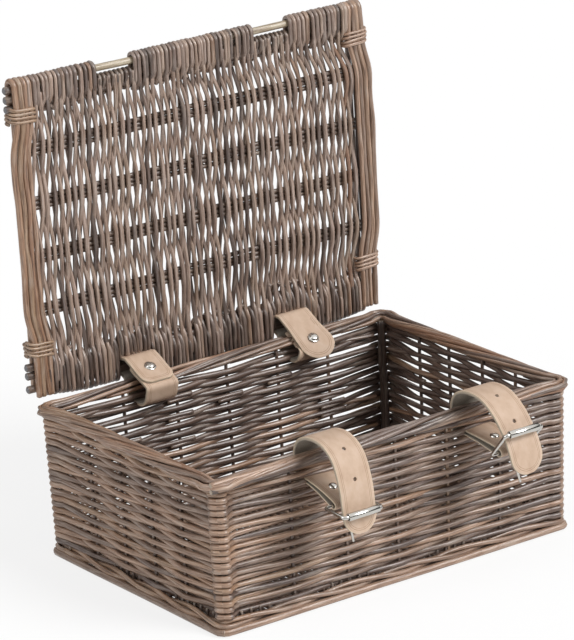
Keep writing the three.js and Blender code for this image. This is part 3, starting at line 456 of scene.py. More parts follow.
# %% [markdown]
# ## The walls
#
# Upright stakes stand in the foot, and the weavers go in front of one stake and behind the next, row by
# row the other way round. At the corners the rows turn over two posts, always on the outside. Fewer rows
# turn the corner than cross a wall: the short ones end inside, behind the last stake. A weaver is only
# about half a metre long, so a row changes rods behind a stake, where both ends stay inside the basket.
# One row could be copied upwards with an array, but no two rods are alike, so each one is drawn by itself.

# %% Plan of the walls
RIM_HALF, RIM_EDGE, RIM_TOP, FLARE = 150.0, 107.5, 111.0, 2.5
LONG, SHORT = 141.5, 99.0
LONG_STAKES = np.array([-83.5, -38.5, 4.5, 47.5, 92.5])
SHORT_STAKES = np.array([-55.5, -18.5, 18.5, 55.5])
Wall = namedtuple("Wall", "name way outward reach away stakes")
WALLS = (
    Wall("front", (1, 0), (0, -1), LONG, SHORT, LONG_STAKES),
    Wall("right", (0, 1), (1, 0), SHORT, LONG, SHORT_STAKES),
    Wall("back", (-1, 0), (0, 1), LONG, SHORT, -LONG_STAKES[::-1]),
    Wall("left", (0, -1), (-1, 0), SHORT, LONG, SHORT_STAKES),
)
# Corners are counted as the walls are: each wall runs from its own corner to the next.
CORNERS = ("front_left", "front_right", "back_right", "back_left")


def flare(points):
    """The walls lean out from the floor to the rim."""
    lean = FLARE * (RIM_TOP - points[:, 2]) / RIM_TOP
    points[:, 0] *= 1 - lean / RIM_HALF
    points[:, 1] *= 1 - lean / RIM_EDGE
    return points


def on_plan(wall, along, out=0):
    return np.array(wall.way) * along + np.array(wall.outward) * (wall.away + out)


def wall_points(wall, along, out, height):
    plan = np.outer(along, wall.way) + np.outer(wall.away + np.asarray(out), wall.outward)
    return flare(np.column_stack([plan, np.broadcast_to(height, len(plan))]))


print("walls that lean out by", FLARE, "mm:", [wall.name for wall in WALLS])

# %% A rod along a wall
CORNER_OUT, CORNER_CUT, BEND = (2.9, 5.4, 5.4, 5.4), 4.8, 1.7
# Rods turn paler round a corner: partly rubbed bark, partly a painted highlight on the bend.
WEAVER_SOFT, WEAR_AND_HIGHLIGHT, WEAR_AND_HIGHLIGHT_TONE = 0.4, 0.7, 0.62


def corner_turn(reach, out, end):
    """Along and out places of a row from the middle of a corner to its wall, at one end of the wall."""
    bend = np.array([reach + out - CORNER_CUT, out])
    slope = np.array([1, -1]) / math.sqrt(2)
    middle = bend + slope * CORNER_CUT / math.sqrt(2)
    enter, leave = bend + slope * BEND, bend - [BEND, 0]
    share = np.array([0.2, 0.4, 0.6, 0.8])[:, None]
    curve = enter * (1 - share) ** 2 + bend * 2 * share * (1 - share) + leave * share ** 2
    turned = np.vstack([middle, (middle + enter) / 2, enter, curve])
    turned[:, 0] *= end
    return turned


def weaver(wall, stations, tone, corners=(None, None)):
    """One rod along a wall, paler where it turns a corner: partly rubbed, partly a painted highlight.

    A station is (along, out, height, radius), and corners are the ones that its two ends go round.
    """
    stations = np.array(stations)
    spans = [np.linspace(a, b, max(4, int((b - a) / 3)), endpoint=False)
             for a, b in zip(stations[:-1, 0], stations[1:, 0])]
    along = np.concatenate(spans + [stations[-1:, 0]])
    swings = [ease(along, stations[:, 0], stations[:, i], WEAVER_SOFT) for i in (1, 2, 3)]
    path = np.column_stack([along] + swings)
    wear_and_highlight = np.zeros(len(path))
    for end, corner in zip((-1, 1), corners):
        if corner is None:
            continue
        turned = corner_turn(wall.reach, CORNER_OUT[corner], end)
        level = path[0 if end < 0 else -1, 2:]
        turned = np.column_stack([turned, np.tile(level, (len(turned), 1))])
        pale = np.full(len(turned), WEAR_AND_HIGHLIGHT)
        path = np.vstack([turned, path] if end < 0 else [path, turned[::-1]])
        wear_and_highlight = np.concatenate([pale, wear_and_highlight] if end < 0 else [wear_and_highlight, pale])
    tone = np.linspace(*np.broadcast_to(tone, 2), len(path))
    return rod(wall_points(wall, *path[:, :3].T), path[:, 3], tone + wear_and_highlight * (WEAR_AND_HIGHLIGHT_TONE - tone))


print("corners stand out by", CORNER_OUT, "mm")

# %% Tones
GREYS, BROWNS, ORANGES = (0.06, 0.2), (0.25, 0.74), (0.8, 1.0)
# For each wall, the shares of grey and of orange rods.
# The back and right walls take mostly dark grey rods: painted shade on the inside of the basket.
WALL_TONES = {"front": (0.14, 0.10), "right": (0.7, 0.06), "back": (0.9, 0.03), "left": (0.2, 0.10)}


def willow_tone(grey=0.16, orange=0.10):
    """Most rods are grey brown, some are grey violet and some orange brown."""
    kind = rng.random()
    shades = GREYS if kind < grey else BROWNS if kind < 1 - orange else ORANGES
    return rng.uniform(*shades)


print("shares of grey and orange rods:", WALL_TONES)

# %% Stations of a row
WEAVERS = {"front": 1.97, "right": 1.9, "back": 2.18, "left": 1.97}
HUG = {"front": 2.2, "right": 2.75, "back": 2.75, "left": 2.2}
ROWS, CORNER_ROWS, ROWS_FROM, ROWS_TO = 28, 20, 9.5, 101.5
SHORT_ROWS = {2, 5, 9, 12, 16, 19, 23, 26}
# How far out a row is just past its corner, then the range further on, and its radius there.
DRAWN_IN, STRAIGHT_ON = (0.2, (-2.4, -1.2), 1.8), (4.9, (2.8, 3.8), 2.2)
CORNER_ROD, JUST_PAST, FURTHER_ON = 2.2, 3.4, 9


def row_heights(count):
    return ROWS_FROM + (np.arange(count) + 0.5) * (ROWS_TO - ROWS_FROM) / count


row_height, corner_height = row_heights(ROWS), row_heights(CORNER_ROWS)
corner_tones = [[willow_tone(*WALL_TONES[wall.name]) for _ in range(CORNER_ROWS)] for wall in WALLS]
corner_jitter = rng.uniform(-0.45, 0.45, (4, CORNER_ROWS))


def stake_stations(wall, row):
    stations = []
    for i, along in enumerate(wall.stakes):
        side = 1 if (row + i) % 2 == 0 else -1
        height = row_height[row] + rng.uniform(-0.4, 0.4)
        radius = WEAVERS[wall.name] * rng.uniform(0.9, 1.06)
        stations.append([along, side * HUG[wall.name], height, radius])
    return stations


def corner_stations(wall, order, end, corner):
    """Where a row leaves a corner: proud of the wall on the bend, and drawn in just past it.

    The rows are drawn in most at the front left corner, which shows as a column of its own.
    """
    out = CORNER_OUT[corner]
    bend = wall.reach + out - CORNER_CUT - BEND
    height = corner_height[order] + corner_jitter[corner][order]
    near, far, radius = DRAWN_IN if CORNERS[corner] == "front_left" else STRAIGHT_ON
    far = rng.uniform(*far)
    return [[end * bend, out, height, CORNER_ROD],
            [end * (bend - JUST_PAST), near, height, radius + 0.1],
            [end * (bend - FURTHER_ON), far, height + rng.uniform(-0.5, 0.5), radius]]


print("rows", round(row_height[1] - row_height[0], 2), "mm apart,", len(SHORT_ROWS), "of them short")

# %% Rows of weavers
WHOLE_ROWS, OVERLAP, APART, SHORT_BY = 0.75, 10, 1.2, 10


def turning_row(index, row, order):
    """A row that goes round both its corners: one rod, or two that overlap behind a stake."""
    wall = WALLS[index]
    corners = (index, (index + 1) % 4)
    first = corner_stations(wall, order, -1, corners[0])
    last = corner_stations(wall, order, 1, corners[1])[::-1]
    stations = stake_stations(wall, row)
    tones = [corner_tones[corner][order] for corner in corners]
    # Back rows take the back wall's dark tones, made darker still: painted shade inside the basket.
    if wall.name == "back":
        tones = [willow_tone(*WALL_TONES["back"]) * 0.95 for _ in tones]
    if rng.random() < WHOLE_ROWS:
        return [weaver(wall, [*first, *stations, *last], tones, corners)]
    behind = [i for i, station in enumerate(stations) if station[1] < 0]
    split = behind[rng.integers(len(behind))]
    place, out, height, _ = stations[split]
    low, high = height - APART, height + APART
    thin_end = [[place, out, low, 1.5], [place + OVERLAP, out - 0.5, low, 1.3]]
    thick_end = [[place - OVERLAP, out - 0.5, high, 1.7], [place, out, high, 1.7]]
    return [weaver(wall, [*first, *stations[:split], *thin_end], tones[0], (corners[0], None)),
            weaver(wall, [*thick_end, *stations[split + 1:], *last], tones[1], (None, corners[1]))]


def short_row(index, row):
    """A row that stays on its wall, with both its ends inside."""
    wall = WALLS[index]
    tone = willow_tone(*WALL_TONES[wall.name])
    inside = wall.reach - SHORT_BY
    ends = [[side * inside, -2.6, row_height[row] + rng.uniform(-1, 1), 1.4] for side in (-1, 1)]
    return [weaver(wall, [ends[0], *stake_stations(wall, row), ends[1]], tone)]


for index, wall in enumerate(WALLS):
    rods, order = [], 0
    for row in range(ROWS):
        if row in SHORT_ROWS:
            rods += short_row(index, row)
        else:
            rods += turning_row(index, row, order)
            order += 1
    piece = rods_piece(f"{wall.name}_weave", rods, willow)
    settle(piece, "basket", "willow", f"{wall.name}_wall", f"{CORNERS[index]}_corner")

# %% [markdown]
# ## Rim and stakes
#
# At the top each stake is turned down and runs along the rim, rolling over the ones before it from the
# outside to the inside, and round a corner if it comes to one. A bundle of straight rods would look stiff,
# so each rod climbs a slow screw round the rim's middle line. The line is a rounded rectangle, measured by
# the run round it.

# %% A rounded rectangle
def rounded_loop(half_x, half_y, turn):
    """The run, the places and the outward directions round a rectangle, from its front left corner."""
    places, outward = [], []
    for cx, cy, begin in ((-1, -1, 180), (1, -1, 270), (1, 1, 0), (-1, 1, 90)):
        angle = np.radians(np.linspace(begin, begin + 90, 10))
        way = np.column_stack([np.cos(angle), np.sin(angle)])
        places.append(np.array([cx * (half_x - turn), cy * (half_y - turn)]) + turn * way)
        outward.append(way)
    places, outward = (np.vstack([*field, field[0][:1]]) for field in (places, outward))
    return run_along(places), places, outward


def along_loop(loop, run, out, height):
    """Places beside the loop's line, at runs that may pass its start."""
    marks, places, outward = loop
    run = np.mod(run, marks[-1])
    plan = between(run, marks, places) + unit(between(run, marks, outward)) * np.asarray(out)[:, None]
    return np.column_stack([plan, np.broadcast_to(height, len(plan))])


def run_at(loop, place):
    marks, places, _ = loop
    fine = np.linspace(0, marks[-1], 4000)
    return fine[np.argmin(np.linalg.norm(between(fine, marks, places) - place, axis=1))]


RIM_X, RIM_Y, RIM_TURN = 143.4, 100.9, 6.0
rim_line = rounded_loop(RIM_X, RIM_Y, RIM_TURN)
rim_corners = [run_at(rim_line, np.array([x, y])) for x in (-RIM_X, RIM_X) for y in (-RIM_Y, RIM_Y)]
print("round the rim:", round(rim_line[0][-1]), "mm")

# %% Rods of the rim
RIM_ROD, RIM_WIDE, RIM_HIGH, RIM_Z = 1.55, 4.7, 2.9, 106.1
RIM_LENGTHS, ROLL_FROM, ROLL_TO = (205, 265), math.radians(-100), math.radians(245)
POINT_OUT, POINT_WIDE, BACK_BOW, BACK_FROM = 3.4, 9, 1.0, 90


def corner_point(run):
    """How far the rods stand out at the corners, where they are pulled over the posts."""
    whole = rim_line[0][-1]
    apart = np.mod(run[:, None] - rim_corners + whole / 2, whole) - whole / 2
    return POINT_OUT * np.exp(-(apart / POINT_WIDE) ** 2).sum(axis=1)


def rim_rod(start, tones):
    """A stake's top, from where it is turned down to where it tucks in. At the back the rim bows up."""
    length = rng.uniform(*RIM_LENGTHS)
    run = np.linspace(0, length, int(length / 4))
    angle = ROLL_FROM + (ROLL_TO - ROLL_FROM) * run / length
    wander = np.sin(run * 0.05 + rng.uniform(0, 6)) * 0.4
    out = RIM_WIDE * np.cos(angle) + wander + corner_point(start + run)
    points = along_loop(rim_line, start + run, out, RIM_Z + RIM_HIGH * np.sin(angle))
    bow = BACK_BOW * np.cos(points[:, 0] / RIM_HALF * np.pi / 2)
    points[:, 2] += np.where(points[:, 1] > BACK_FROM, bow, 0)
    return rod(points, RIM_ROD * np.linspace(1.15, 0.85, len(run)), willow_tone(*tones))


def upright_rod(wall, along, out, radius, tone):
    height = np.linspace(3.5, 104, 24)
    sway = np.cumsum(rng.normal(0, 0.12, len(height)))
    points = wall_points(wall, along + sway, np.full(len(height), out), height)
    return rod(points, radius, tone, up=(*wall.outward, 0))


def level_rod(wall, along, out, height, radius, tone):
    return rod(wall_points(wall, along, np.full(len(along), out), height), radius, tone)


print("a rod of the rim is", RIM_LENGTHS, "mm long")

# %% Rim and stakes
STAKE, POST, RIM_CORE = 1.25, 2.0, 2.4
RIM_TONES = {"front": (0.12, 0.2), "right": (0.45, 0.12), "back": (0.55, 0.05), "left": (0.12, 0.2)}
# Ends that stick out at the front left corner: where they begin, out, height, radius and tone.
STUBS = ((-148.6, 4.6, 108.2, 2.2, 0.62), (-149.4, 6.0, 104.2, 2.0, 0.03))

for wall in WALLS:
    name, reach = wall.name, wall.reach
    starts = [*wall.stakes, -reach + 4, -reach + 22, reach - 18, -reach * 0.2, reach * 0.45]
    runs = [run_at(rim_line, on_plan(wall, along)) for along in starts]
    rods = [rim_rod(run + rng.uniform(-4, 4), RIM_TONES[name]) for run in runs]
    rods += [upright_rod(wall, along, 0.0, STAKE, willow_tone(0.6, 0.05)) for along in wall.stakes]
    # The corner posts take the darkest tone: painted shade where they stand back in the corners.
    rods += [upright_rod(wall, side * (reach - 2.8), -0.8, POST, 0.02) for side in (-1, 1)]
    rods.append(level_rod(wall, np.linspace(-reach, reach, 40), 2.0, RIM_Z, RIM_CORE, 0.0))
    if name == "front":
        rods += [level_rod(wall, np.linspace(low, low + 60, 16), *stub) for low, *stub in STUBS]
    settle(rods_piece(f"{name}_rim", rods, willow), "basket", "willow", f"{name}_border_and_stakes")

# %% [markdown]
# ## Foot
#
# A thick rod lies on the floor round the basket. Above it two thinner ones twist past short pegs, the ends
# of the stakes, in long slanting strokes. A twist could be made with a screw modifier on a straight pair,
# but it has to turn the corners too, so the strands are laid along a loop as the rim's rods are.

# %% Foot
FLOOR_ROD, FLOOR_OUT = 2.6, 4
BEHIND_ROD, BEHIND_OUT, BEHIND_Z = 2.7, -2.8, 4.8
STRAND, STRAND_OUT, STRAND_UP, STRAND_Z, STROKE = 1.75, 2.3, 1.7, 7.3, 92.0
PEG, PEG_OUT, PEG_STEP = 1.2, 0.6, 7.5
floor_line = rounded_loop(145.3, 102.8, 5.0)
strand_line = rounded_loop(143.0, 100.5, 4.5)


def floor_rod(low, high):
    run = np.linspace(low, high, int((high - low) / 4))
    points = along_loop(floor_line, run, np.sin(run * 0.04) * 0.2, FLOOR_ROD + 0.1)
    return rod(points, FLOOR_ROD, rng.uniform(0.3, 0.6))


def behind_rod(low, high):
    run = np.linspace(low, high, int((high - low) / 6))
    return rod(along_loop(strand_line, run, np.full(len(run), BEHIND_OUT), BEHIND_Z), BEHIND_ROD, 0.05)


def foot_strand(low, high, phase):
    run = np.linspace(low, high, int((high - low) / 3))
    angle = -run * 2 * math.pi / STROKE + phase
    points = along_loop(strand_line, run, STRAND_OUT * np.cos(angle), STRAND_Z + STRAND_UP * np.sin(angle))
    return rod(points, STRAND, willow_tone(0.1, 0.2))


for index, wall in enumerate(WALLS):
    name, reach = wall.name, wall.reach
    ends = (-reach - FLOOR_OUT, reach + FLOOR_OUT)
    low, high = (run_at(floor_line, on_plan(wall, end, FLOOR_OUT)) for end in ends)
    high += floor_line[0][-1] if high < low else 0
    rods = [floor_rod(low - 1, high + 1), behind_rod(low, high)]
    rods += [foot_strand(low - 2, high + 2, phase + index) for phase in (0.0, math.pi)]
    for along in np.arange(-reach + 6, reach - 5, PEG_STEP):
        peg = wall_points(wall, np.full(4, along), np.full(4, PEG_OUT), np.linspace(2.0, 12.0, 4))
        rods.append(rod(peg, PEG, 0.05, up=(*wall.outward, 0)))
    settle(rods_piece(f"{name}_foot_rods", rods, willow), "basket", "willow", f"{name}_foot")

# %% [markdown]
# ## Base
#
# The bottom is a mat: three long sticks, and weavers across them that pass over one and under the next. A
# flat sheet with a bump would be quicker, but the open top shows the rods one by one, so they are drawn.

# %% Base
BASE_MID, BASE_STICK, BASE_WEAVER, BASE_EDGE = 4.7, 1.7, 1.55, 98.6
STICK_YS, STICK_HALF = (-48.0, 0.0, 48.0), 140
across = np.arange(-139.05, 139.1, 2.7)
y = np.linspace(-BASE_EDGE, BASE_EDGE, 44)
stations = [-BASE_EDGE, *STICK_YS, BASE_EDGE]
wave = np.array([-0.4, 1, -1, 1, -0.4])
gap = BASE_STICK + BASE_WEAVER - 0.2
rods = []
for i, x in enumerate(across):
    side = 1 if i % 2 else -1
    height = BASE_MID + ease(y, stations, wave * side * gap)
    drift = x + ease(y, stations, rng.uniform(-0.12, 0.12, 5))
    path = flare(np.column_stack([drift, y, height]))
    # The mat's weavers take only the darker tones: painted shade on the floor inside the basket.
    rods.append(rod(path, BASE_WEAVER, rng.uniform(0.0, 0.45), up=(1, 0, 0)))
settle(rods_piece("base_weave", rods, willow, sides=6), "basket", "willow_dark", "base_mat")
along = np.linspace(-STICK_HALF, STICK_HALF, 30)
for i, y in enumerate(STICK_YS):
    path = flare(np.column_stack([along, np.full(30, y), np.full(30, BASE_MID)]))
    piece = rods_piece(f"base_long_stick_{i + 1}", [rod(path, BASE_STICK, rng.random())], willow_dark)
    settle(piece, "basket", "willow_dark", f"base_stick_{i + 1}")

# %% [markdown]
# ## Lid
#
# The lid is a ladder of cross sticks with thin weavers running from the hinge edge to the front edge. It is
# drawn flat, by its distance from the hinge edge (s) and its depth (t, with 0 on the inside), and swung
# open here. It could be woven flat and turned afterwards, but then the leather could not be fitted to it.
# The weave is loose enough for light to show beside each stick.

# %% Plan of the lid
HINGE_Y, HINGE_Z, SETBACK, LID_MID = 110.5, 112.5, 1.8, 5.5
SWING = math.radians(90.7)
LID_EDGE, WEAVE_EDGE, STICK_REACH = 144.8, 131.0, 148.6
# Each hinge stick hangs with its own share of the hinge edge's sag.
HINGE_STICKS, HINGE_SAGS = (4.25, 13.95, 20.05), (0.55, 0.4, 0.8)
INNER_STICKS = (57.95, 95.85, 133.75, 171.65)
FRONT_ROD, FRONT_STICKS = 217.75, (209.55, 202.9)
STRAP_XS, SLOT = (-61.0, 70.0), 14.0
LID_UP = (0, math.sin(SWING - math.pi / 2), math.cos(SWING - math.pi / 2))


def on_lid(x, s, t):
    """Places on the open lid."""
    x, s, t = np.broadcast_arrays(np.asarray(x, float), s, t)
    y, z = -(SETBACK + s), t
    return np.column_stack([x, HINGE_Y + y * math.cos(SWING) + z * math.sin(SWING),
                            HINGE_Z - y * math.sin(SWING) + z * math.cos(SWING)])


def in_slot(x):
    return min(abs(x - strap) for strap in STRAP_XS) < SLOT


def sag(x):
    """How far the hinge edge hangs down: least at its ends, most between the loops that hold it."""
    return ease(np.asarray(x, float), [-152, -95, 0, 100, 152], [1.2, 5.5, 9.0, 7.5, 3.6])


def band_drop(x):
    """How far the band hangs at x. In a slot the loop holds it up."""
    return 0.0 if in_slot(x) else sag(x)


print("lid open by", round(math.degrees(SWING), 1), "degrees")

# %% Rods of the lid
def cross_stick(s, half, radius, sagging=0.0):
    x = np.linspace(-half, half, 40)
    sway = ease(x, np.linspace(-half, half, 7), rng.uniform(-0.4, 0.4, 7))
    return rod(on_lid(x, s + sway - sagging * sag(x), LID_MID), radius, rng.random())


def edge_wrap(x, ends, top, depth, radius, tone, lean=0.0):
    """A rod that comes out of the weave, goes over an edge of the lid and back in on the other face.

    `ends` are where it comes out inside and outside, and `top` is the stick that it goes over.
    """
    nose = 1 if top > ends[0] else -1
    angle = np.linspace(0, math.pi, 11)
    inside = [(ends[0] - 8 * nose, 0.6), (ends[0] - 4 * nose, -0.55 * depth), (ends[0], -depth)]
    inside += [(s, -depth) for s in np.linspace(ends[0], top, 5)[1:-1]]
    over = [(top + nose * depth * math.sin(a), -depth * math.cos(a)) for a in angle]
    outside = [(s, depth) for s in np.linspace(top, ends[1], 5)[1:-1]]
    outside += [(ends[1], depth), (ends[1] - 4 * nose, 0.55 * depth), (ends[1] - 8 * nose, -0.6)]
    s, t = np.array(inside + over + outside).T
    return rod(on_lid(x + np.linspace(-lean, lean, len(s)), s, LID_MID + t), radius, tone, up=(1, 0, 0))


print("a wrapped rod has", len(edge_wrap(0, (204, 204), FRONT_ROD, 4, 1, 0)[0]), "rings")

# %% Cross sticks
PEELED, PEELED_HALF = 2.5, 137
THICK_STICK, LID_STICK, STICKS_APART = 2.75, 1.75, 3.3

front = rods_piece("lid_peeled_rod", [cross_stick(FRONT_ROD, PEELED_HALF, PEELED)], peeled, 10)
settle(front, "lid", "peeled_rod", "lid_front_rod")
rods = [cross_stick(s, STICK_REACH, THICK_STICK) for s in FRONT_STICKS]
for side in (-1, 1):
    stub = on_lid(side * np.linspace(134, STICK_REACH, 6), FRONT_ROD - 1.5, LID_MID)
    rods.append(rod(stub, THICK_STICK, rng.random()))
for x in np.arange(-SLOT + 1, SLOT, 3.6):
    for strap in STRAP_XS:
        ends = rng.uniform(206.5, 208, 2)
        rods.append(edge_wrap(strap + x, ends, FRONT_STICKS[0] - 0.4, 3.5, 1.3, rng.random(), 0.5))
second = rods_piece("lid_second_rod", rods, willow_dark, 10)
settle(second, "lid", "willow_dark", "lid_second_stick")
for i, (s, share) in enumerate(zip(HINGE_STICKS, HINGE_SAGS)):
    hanging = cross_stick(s, STICK_REACH, THICK_STICK, share)
    piece = rods_piece(f"lid_hinge_rod_{i + 1}", [hanging], willow_dark, 10)
    settle(piece, "lid", "willow_dark", f"lid_hinge_stick_{i + 1}")
for i, s in enumerate(INNER_STICKS):
    places = (s - STICKS_APART, s, s + STICKS_APART)
    three = [cross_stick(place, WEAVE_EDGE + 8, LID_STICK) for place in places]
    piece = rods_piece(f"lid_cross_rod_{i + 1}", three, willow_dark)
    settle(piece, "lid", "willow_dark", f"lid_stick_{i + 1}")

# %% [markdown]
# ## Weavers and the hinge band
#
# The thin weavers swing from face to face of the lid and spread where its sides bow out. At the hinge edge
# more rods are wrapped over the sticks side by side and hang in a curve. In two slots they go over the
# second stick only and leave the lowest one bare for a leather loop. A sheet cut to that edge would show no
# rods, so each wrap is drawn.

# %% Weavers of the lid
LID_WEAVER, LID_WEAVERS, WEAVER_BENDS = 1.42, 98, 5.0
SIDE_SPREAD, RIGHT_SPREAD = 0.034, 0.02
BINDINGS = (31.1, 197.0)


def side_bow(s):
    """How far the lid's sides bow out between their bindings, from 0 to 1."""
    return ease(s, [-2, BINDINGS[0], 62, 166, BINDINGS[1], 222], [0.0, 0.0, 1.0, 1.0, 0.0, 0.0])


def lid_weaver(i):
    """A thin rod from the hinge band to the front edge, in front of three sticks and behind the next."""
    gap = LID_STICK + LID_WEAVER - 0.2
    x = -WEAVE_EDGE + (i + 0.5) * 2 * WEAVE_EDGE / LID_WEAVERS
    sticks = [14.0 - band_drop(x), *INNER_STICKS, 206.0]
    stations = np.ravel([(s - WEAVER_BENDS, s + WEAVER_BENDS) for s in sticks])
    side = np.repeat([-1, 1, -1, 1, -1, 1], 2) * (1 if i % 2 else -1)
    s = np.unique(np.concatenate([stations, np.linspace(stations[0], stations[-1], 44)]))
    lean = ease(s, sticks, rng.uniform(-1.2, 1.2, 6) + [0, 0.4, -0.4, 0.4, 1.0, -3.0])
    across = x * (1 + SIDE_SPREAD * side_bow(s) + (RIGHT_SPREAD if x > 0 else 0)) + lean
    depth = ease(s, stations, side * gap, 0.15)
    radius = (LID_WEAVER + 0.2 * np.abs(depth) / gap) * rng.uniform(0.86, 1.14)
    radius = radius * np.linspace(1.06, 0.94, len(s))
    tone = rng.choice([willow_tone(), rng.uniform(0.45, 0.72)])
    return rod(on_lid(across, s, LID_MID + depth), radius, tone, up=(1, 0, 0))


rods = [lid_weaver(i) for i in range(LID_WEAVERS)]
print(len(rods), "weavers")

# %% Hinge band
BAND_DEPTH, WRAP_GAPS = 4.3, [0.0, 0.3, 0.9]
x = -LID_EDGE + 10
while x < LID_EDGE - 9:
    radius = rng.uniform(1.3, 1.8)
    drop = band_drop(x)
    top = HINGE_STICKS[1] if in_slot(x) else HINGE_STICKS[0] - drop
    ends = rng.uniform(14, 25, 2) - drop
    # Most wraps are grey rods: partly their own colour, partly painted shade low on the lid by the hinge.
    tone = willow_tone(0.55, 0.05)
    rods.append(edge_wrap(x, ends, top, BAND_DEPTH, radius, tone, rng.uniform(-0.7, 1.1)))
    x += radius * 2 + rng.choice(WRAP_GAPS)
settle(rods_piece("lid_weavers", rods, willow_grey, 7), "lid", "willow", "lid_weave")

# %% [markdown]
# ## The lid's edges
#
# In front, three stretches of rods are wrapped over the peeled rod, with a bare slot for each strap
# between them. Down each side runs a bundle of thicker rods that turn over the front edge, and near each
# corner four turns of a thin rod bind the bundle to the sticks. The turns could be one coil, but single
# turns that each lean a little differently look wound by hand.

# %% Front edge
EDGE_DEPTH = 4.4
EDGES = [11 - LID_EDGE, *[strap + side * SLOT for strap in STRAP_XS for side in (-1, 1)], LID_EDGE - 9]
for i, name in enumerate(("left", "middle", "right")):
    rods = []
    x = EDGES[2 * i] + 2
    while x < EDGES[2 * i + 1] - 1.5:
        radius = rng.uniform(1.2, 1.75)
        lean = rng.uniform(-0.6, 1.5)
        ends = rng.uniform(204, 208.5, 2)
        rods.append(edge_wrap(x, ends, FRONT_ROD, EDGE_DEPTH, radius, willow_tone(0.2, 0.06), lean))
        x += radius * 2 + rng.choice(WRAP_GAPS)
    piece = rods_piece(f"lid_edge_wrap_{name}", rods, willow_grey, 8)
    settle(piece, "lid", "willow", f"lid_front_wrap_{name}")

# %% Side rods
# A side: which way it is, how far it stands out beyond the plan, and its rods as (place, radius, tone).
SIDES = {
    "left": (-1, 0.0, [(142.4, 2.15, 0.86), (138.6, 2.2, 0.74), (134.9, 2.0, 0.90), (131.6, 1.7, 0.62)]),
    "right": (1, 3.2, [(142.6, 2.1, 0.42), (139.0, 2.0, 0.66), (135.6, 1.8, 0.35), (132.4, 1.7, 0.60)]),
}
SIDE_FROM, SIDE_FACE, SIDE_BOW = -1.6, 4.3, 4.6
BACK_ROD, BACK_ROD_XS = 2.1, (141.0, 136.5)


def side_rod(x, radius, tone, side):
    """A long rod on the inside of the lid, drawn in by the bindings and turned over the front edge."""
    turn = np.linspace(0, math.pi, 9)[1:]
    straight = np.linspace(SIDE_FROM, FRONT_ROD, 64)
    s = np.concatenate([straight, FRONT_ROD + SIDE_FACE * np.sin(turn), [210.0, 205.0, 199.0]])
    t = np.concatenate([np.full(64, -SIDE_FACE), -SIDE_FACE * np.cos(turn), [SIDE_FACE, SIDE_FACE, 1.0]])
    drift = ease(s, np.linspace(SIDE_FROM, 222, 11), rng.uniform(-0.8, 0.8, 11))
    across = x + side_bow(s) * (SIDE_BOW + 0.09 * (x - 137)) + drift
    return rod(on_lid(side * across, s, LID_MID + t), radius, tone, up=(1, 0, 0))


def back_rod(x, side):
    s = np.linspace(2, 206, 50)
    drift = ease(s, np.linspace(2, 206, 7), rng.uniform(-0.6, 0.6, 7))
    return rod(on_lid(side * (x + drift), s, LID_MID + 4.0), BACK_ROD, willow_tone(), up=(1, 0, 0))


for name, (side, beyond, places) in SIDES.items():
    rods = [side_rod(x + beyond, radius, tone, side) for x, radius, tone in places]
    rods += [back_rod(x + beyond, side) for x in BACK_ROD_XS]
    piece = rods_piece(f"lid_side_rods_{name}", rods, willow, 10)
    settle(piece, "lid", "willow", *[f"lid_{name}_rod_{k}" for k in (1, 2, 3)])

# %% Corner bindings
BUNDLE_AT, BUNDLE_DEEP, TURN_STEP = 137.6, 5.9, 2.8
BINDING_TONES = {"left": (0.72, 0.8), "right": (0.5, 0.66)}


def binding_turn(side, middle, s, half, tone):
    """One turn round a side bundle, from its inner face round to the outer one."""
    angle = np.linspace(0, 2 * math.pi, 37)
    across = middle + half * np.sign(np.cos(angle)) * np.abs(np.cos(angle)) ** 0.4
    t = LID_MID + BUNDLE_DEEP * np.sign(np.sin(angle)) * np.abs(np.sin(angle)) ** 0.5
    slant = rng.uniform(0.2, 1.2) * np.cos(angle) + np.linspace(0, 2.6, 37)
    return rod(on_lid(side * across, s + slant, t), rng.uniform(1.1, 1.3), tone, up=LID_UP)


for name, (side, beyond, _) in SIDES.items():
    for where, s in zip(("hinge", "front"), BINDINGS):
        tone = rng.uniform(*BINDING_TONES[name])
        turns = []
        for k in range(4):
            half = rng.uniform(8.8, 9.6)
            turns.append(binding_turn(side, BUNDLE_AT + beyond, s - 5.4 + TURN_STEP * k, half, tone))
        piece = rods_piece(f"lid_{where}_{name}_turns", turns, willow, 8)
        settle(piece, "lid", "willow", f"lid_{where}_{name}_binding")

# %% [markdown]
# ## Leather
#
# The straps are cut from natural hide about 2 mm thick: a smooth grain side with two creased lines along
# each edge, cream cut edges and a grey suede back. Each strap is made the way it is cut: a flat strip is
# trimmed to its outline, thickened, punched and has its edges rounded, and only then is it bent along its
# path. Each point keeps how far it is from the outline, and that places the creases.

# %% Leather finish
hide, tree, shader = surface("hide", Roughness=0.62, IOR=1.42)
edge, under = attribute(tree, "edge"), attribute(tree, "under")
place = attribute(tree, "flat", "Vector")
cloud = stretched_noise(tree, place, (0.09, 0.13, 0.1), 3.0)
pore = stretched_noise(tree, place, (2.2, 2.2, 2.2), 2.0)
tan = ramp(tree, cloud, [(0.3, "#BDA28C"), (0.5, "#C5AB95"), (0.7, "#CBB39F")])
lines = ramp(tree, maths(tree, "MULTIPLY", edge, 0.1), [
    (0.0, "#FFFFFF"), (0.21, "#FFFFFF"), (0.235, "#BFAE9C"), (0.26, "#FFFFFF"), (0.33, "#FFFFFF"),
    (0.355, "#CDBEAE"), (0.38, "#FFFFFF"), (1.0, "#FFFFFF")])
creased = mix_colour(tree, "MULTIPLY", 1.0, tan, lines)
rimmed = mix_colour(tree, "MIX", spread(tree, edge, 0.55, 0.15, 0.0, 0.8), creased, hex_colour("#D9C8AE"))
nap = spread(tree, pore, 0.35, 0.65)
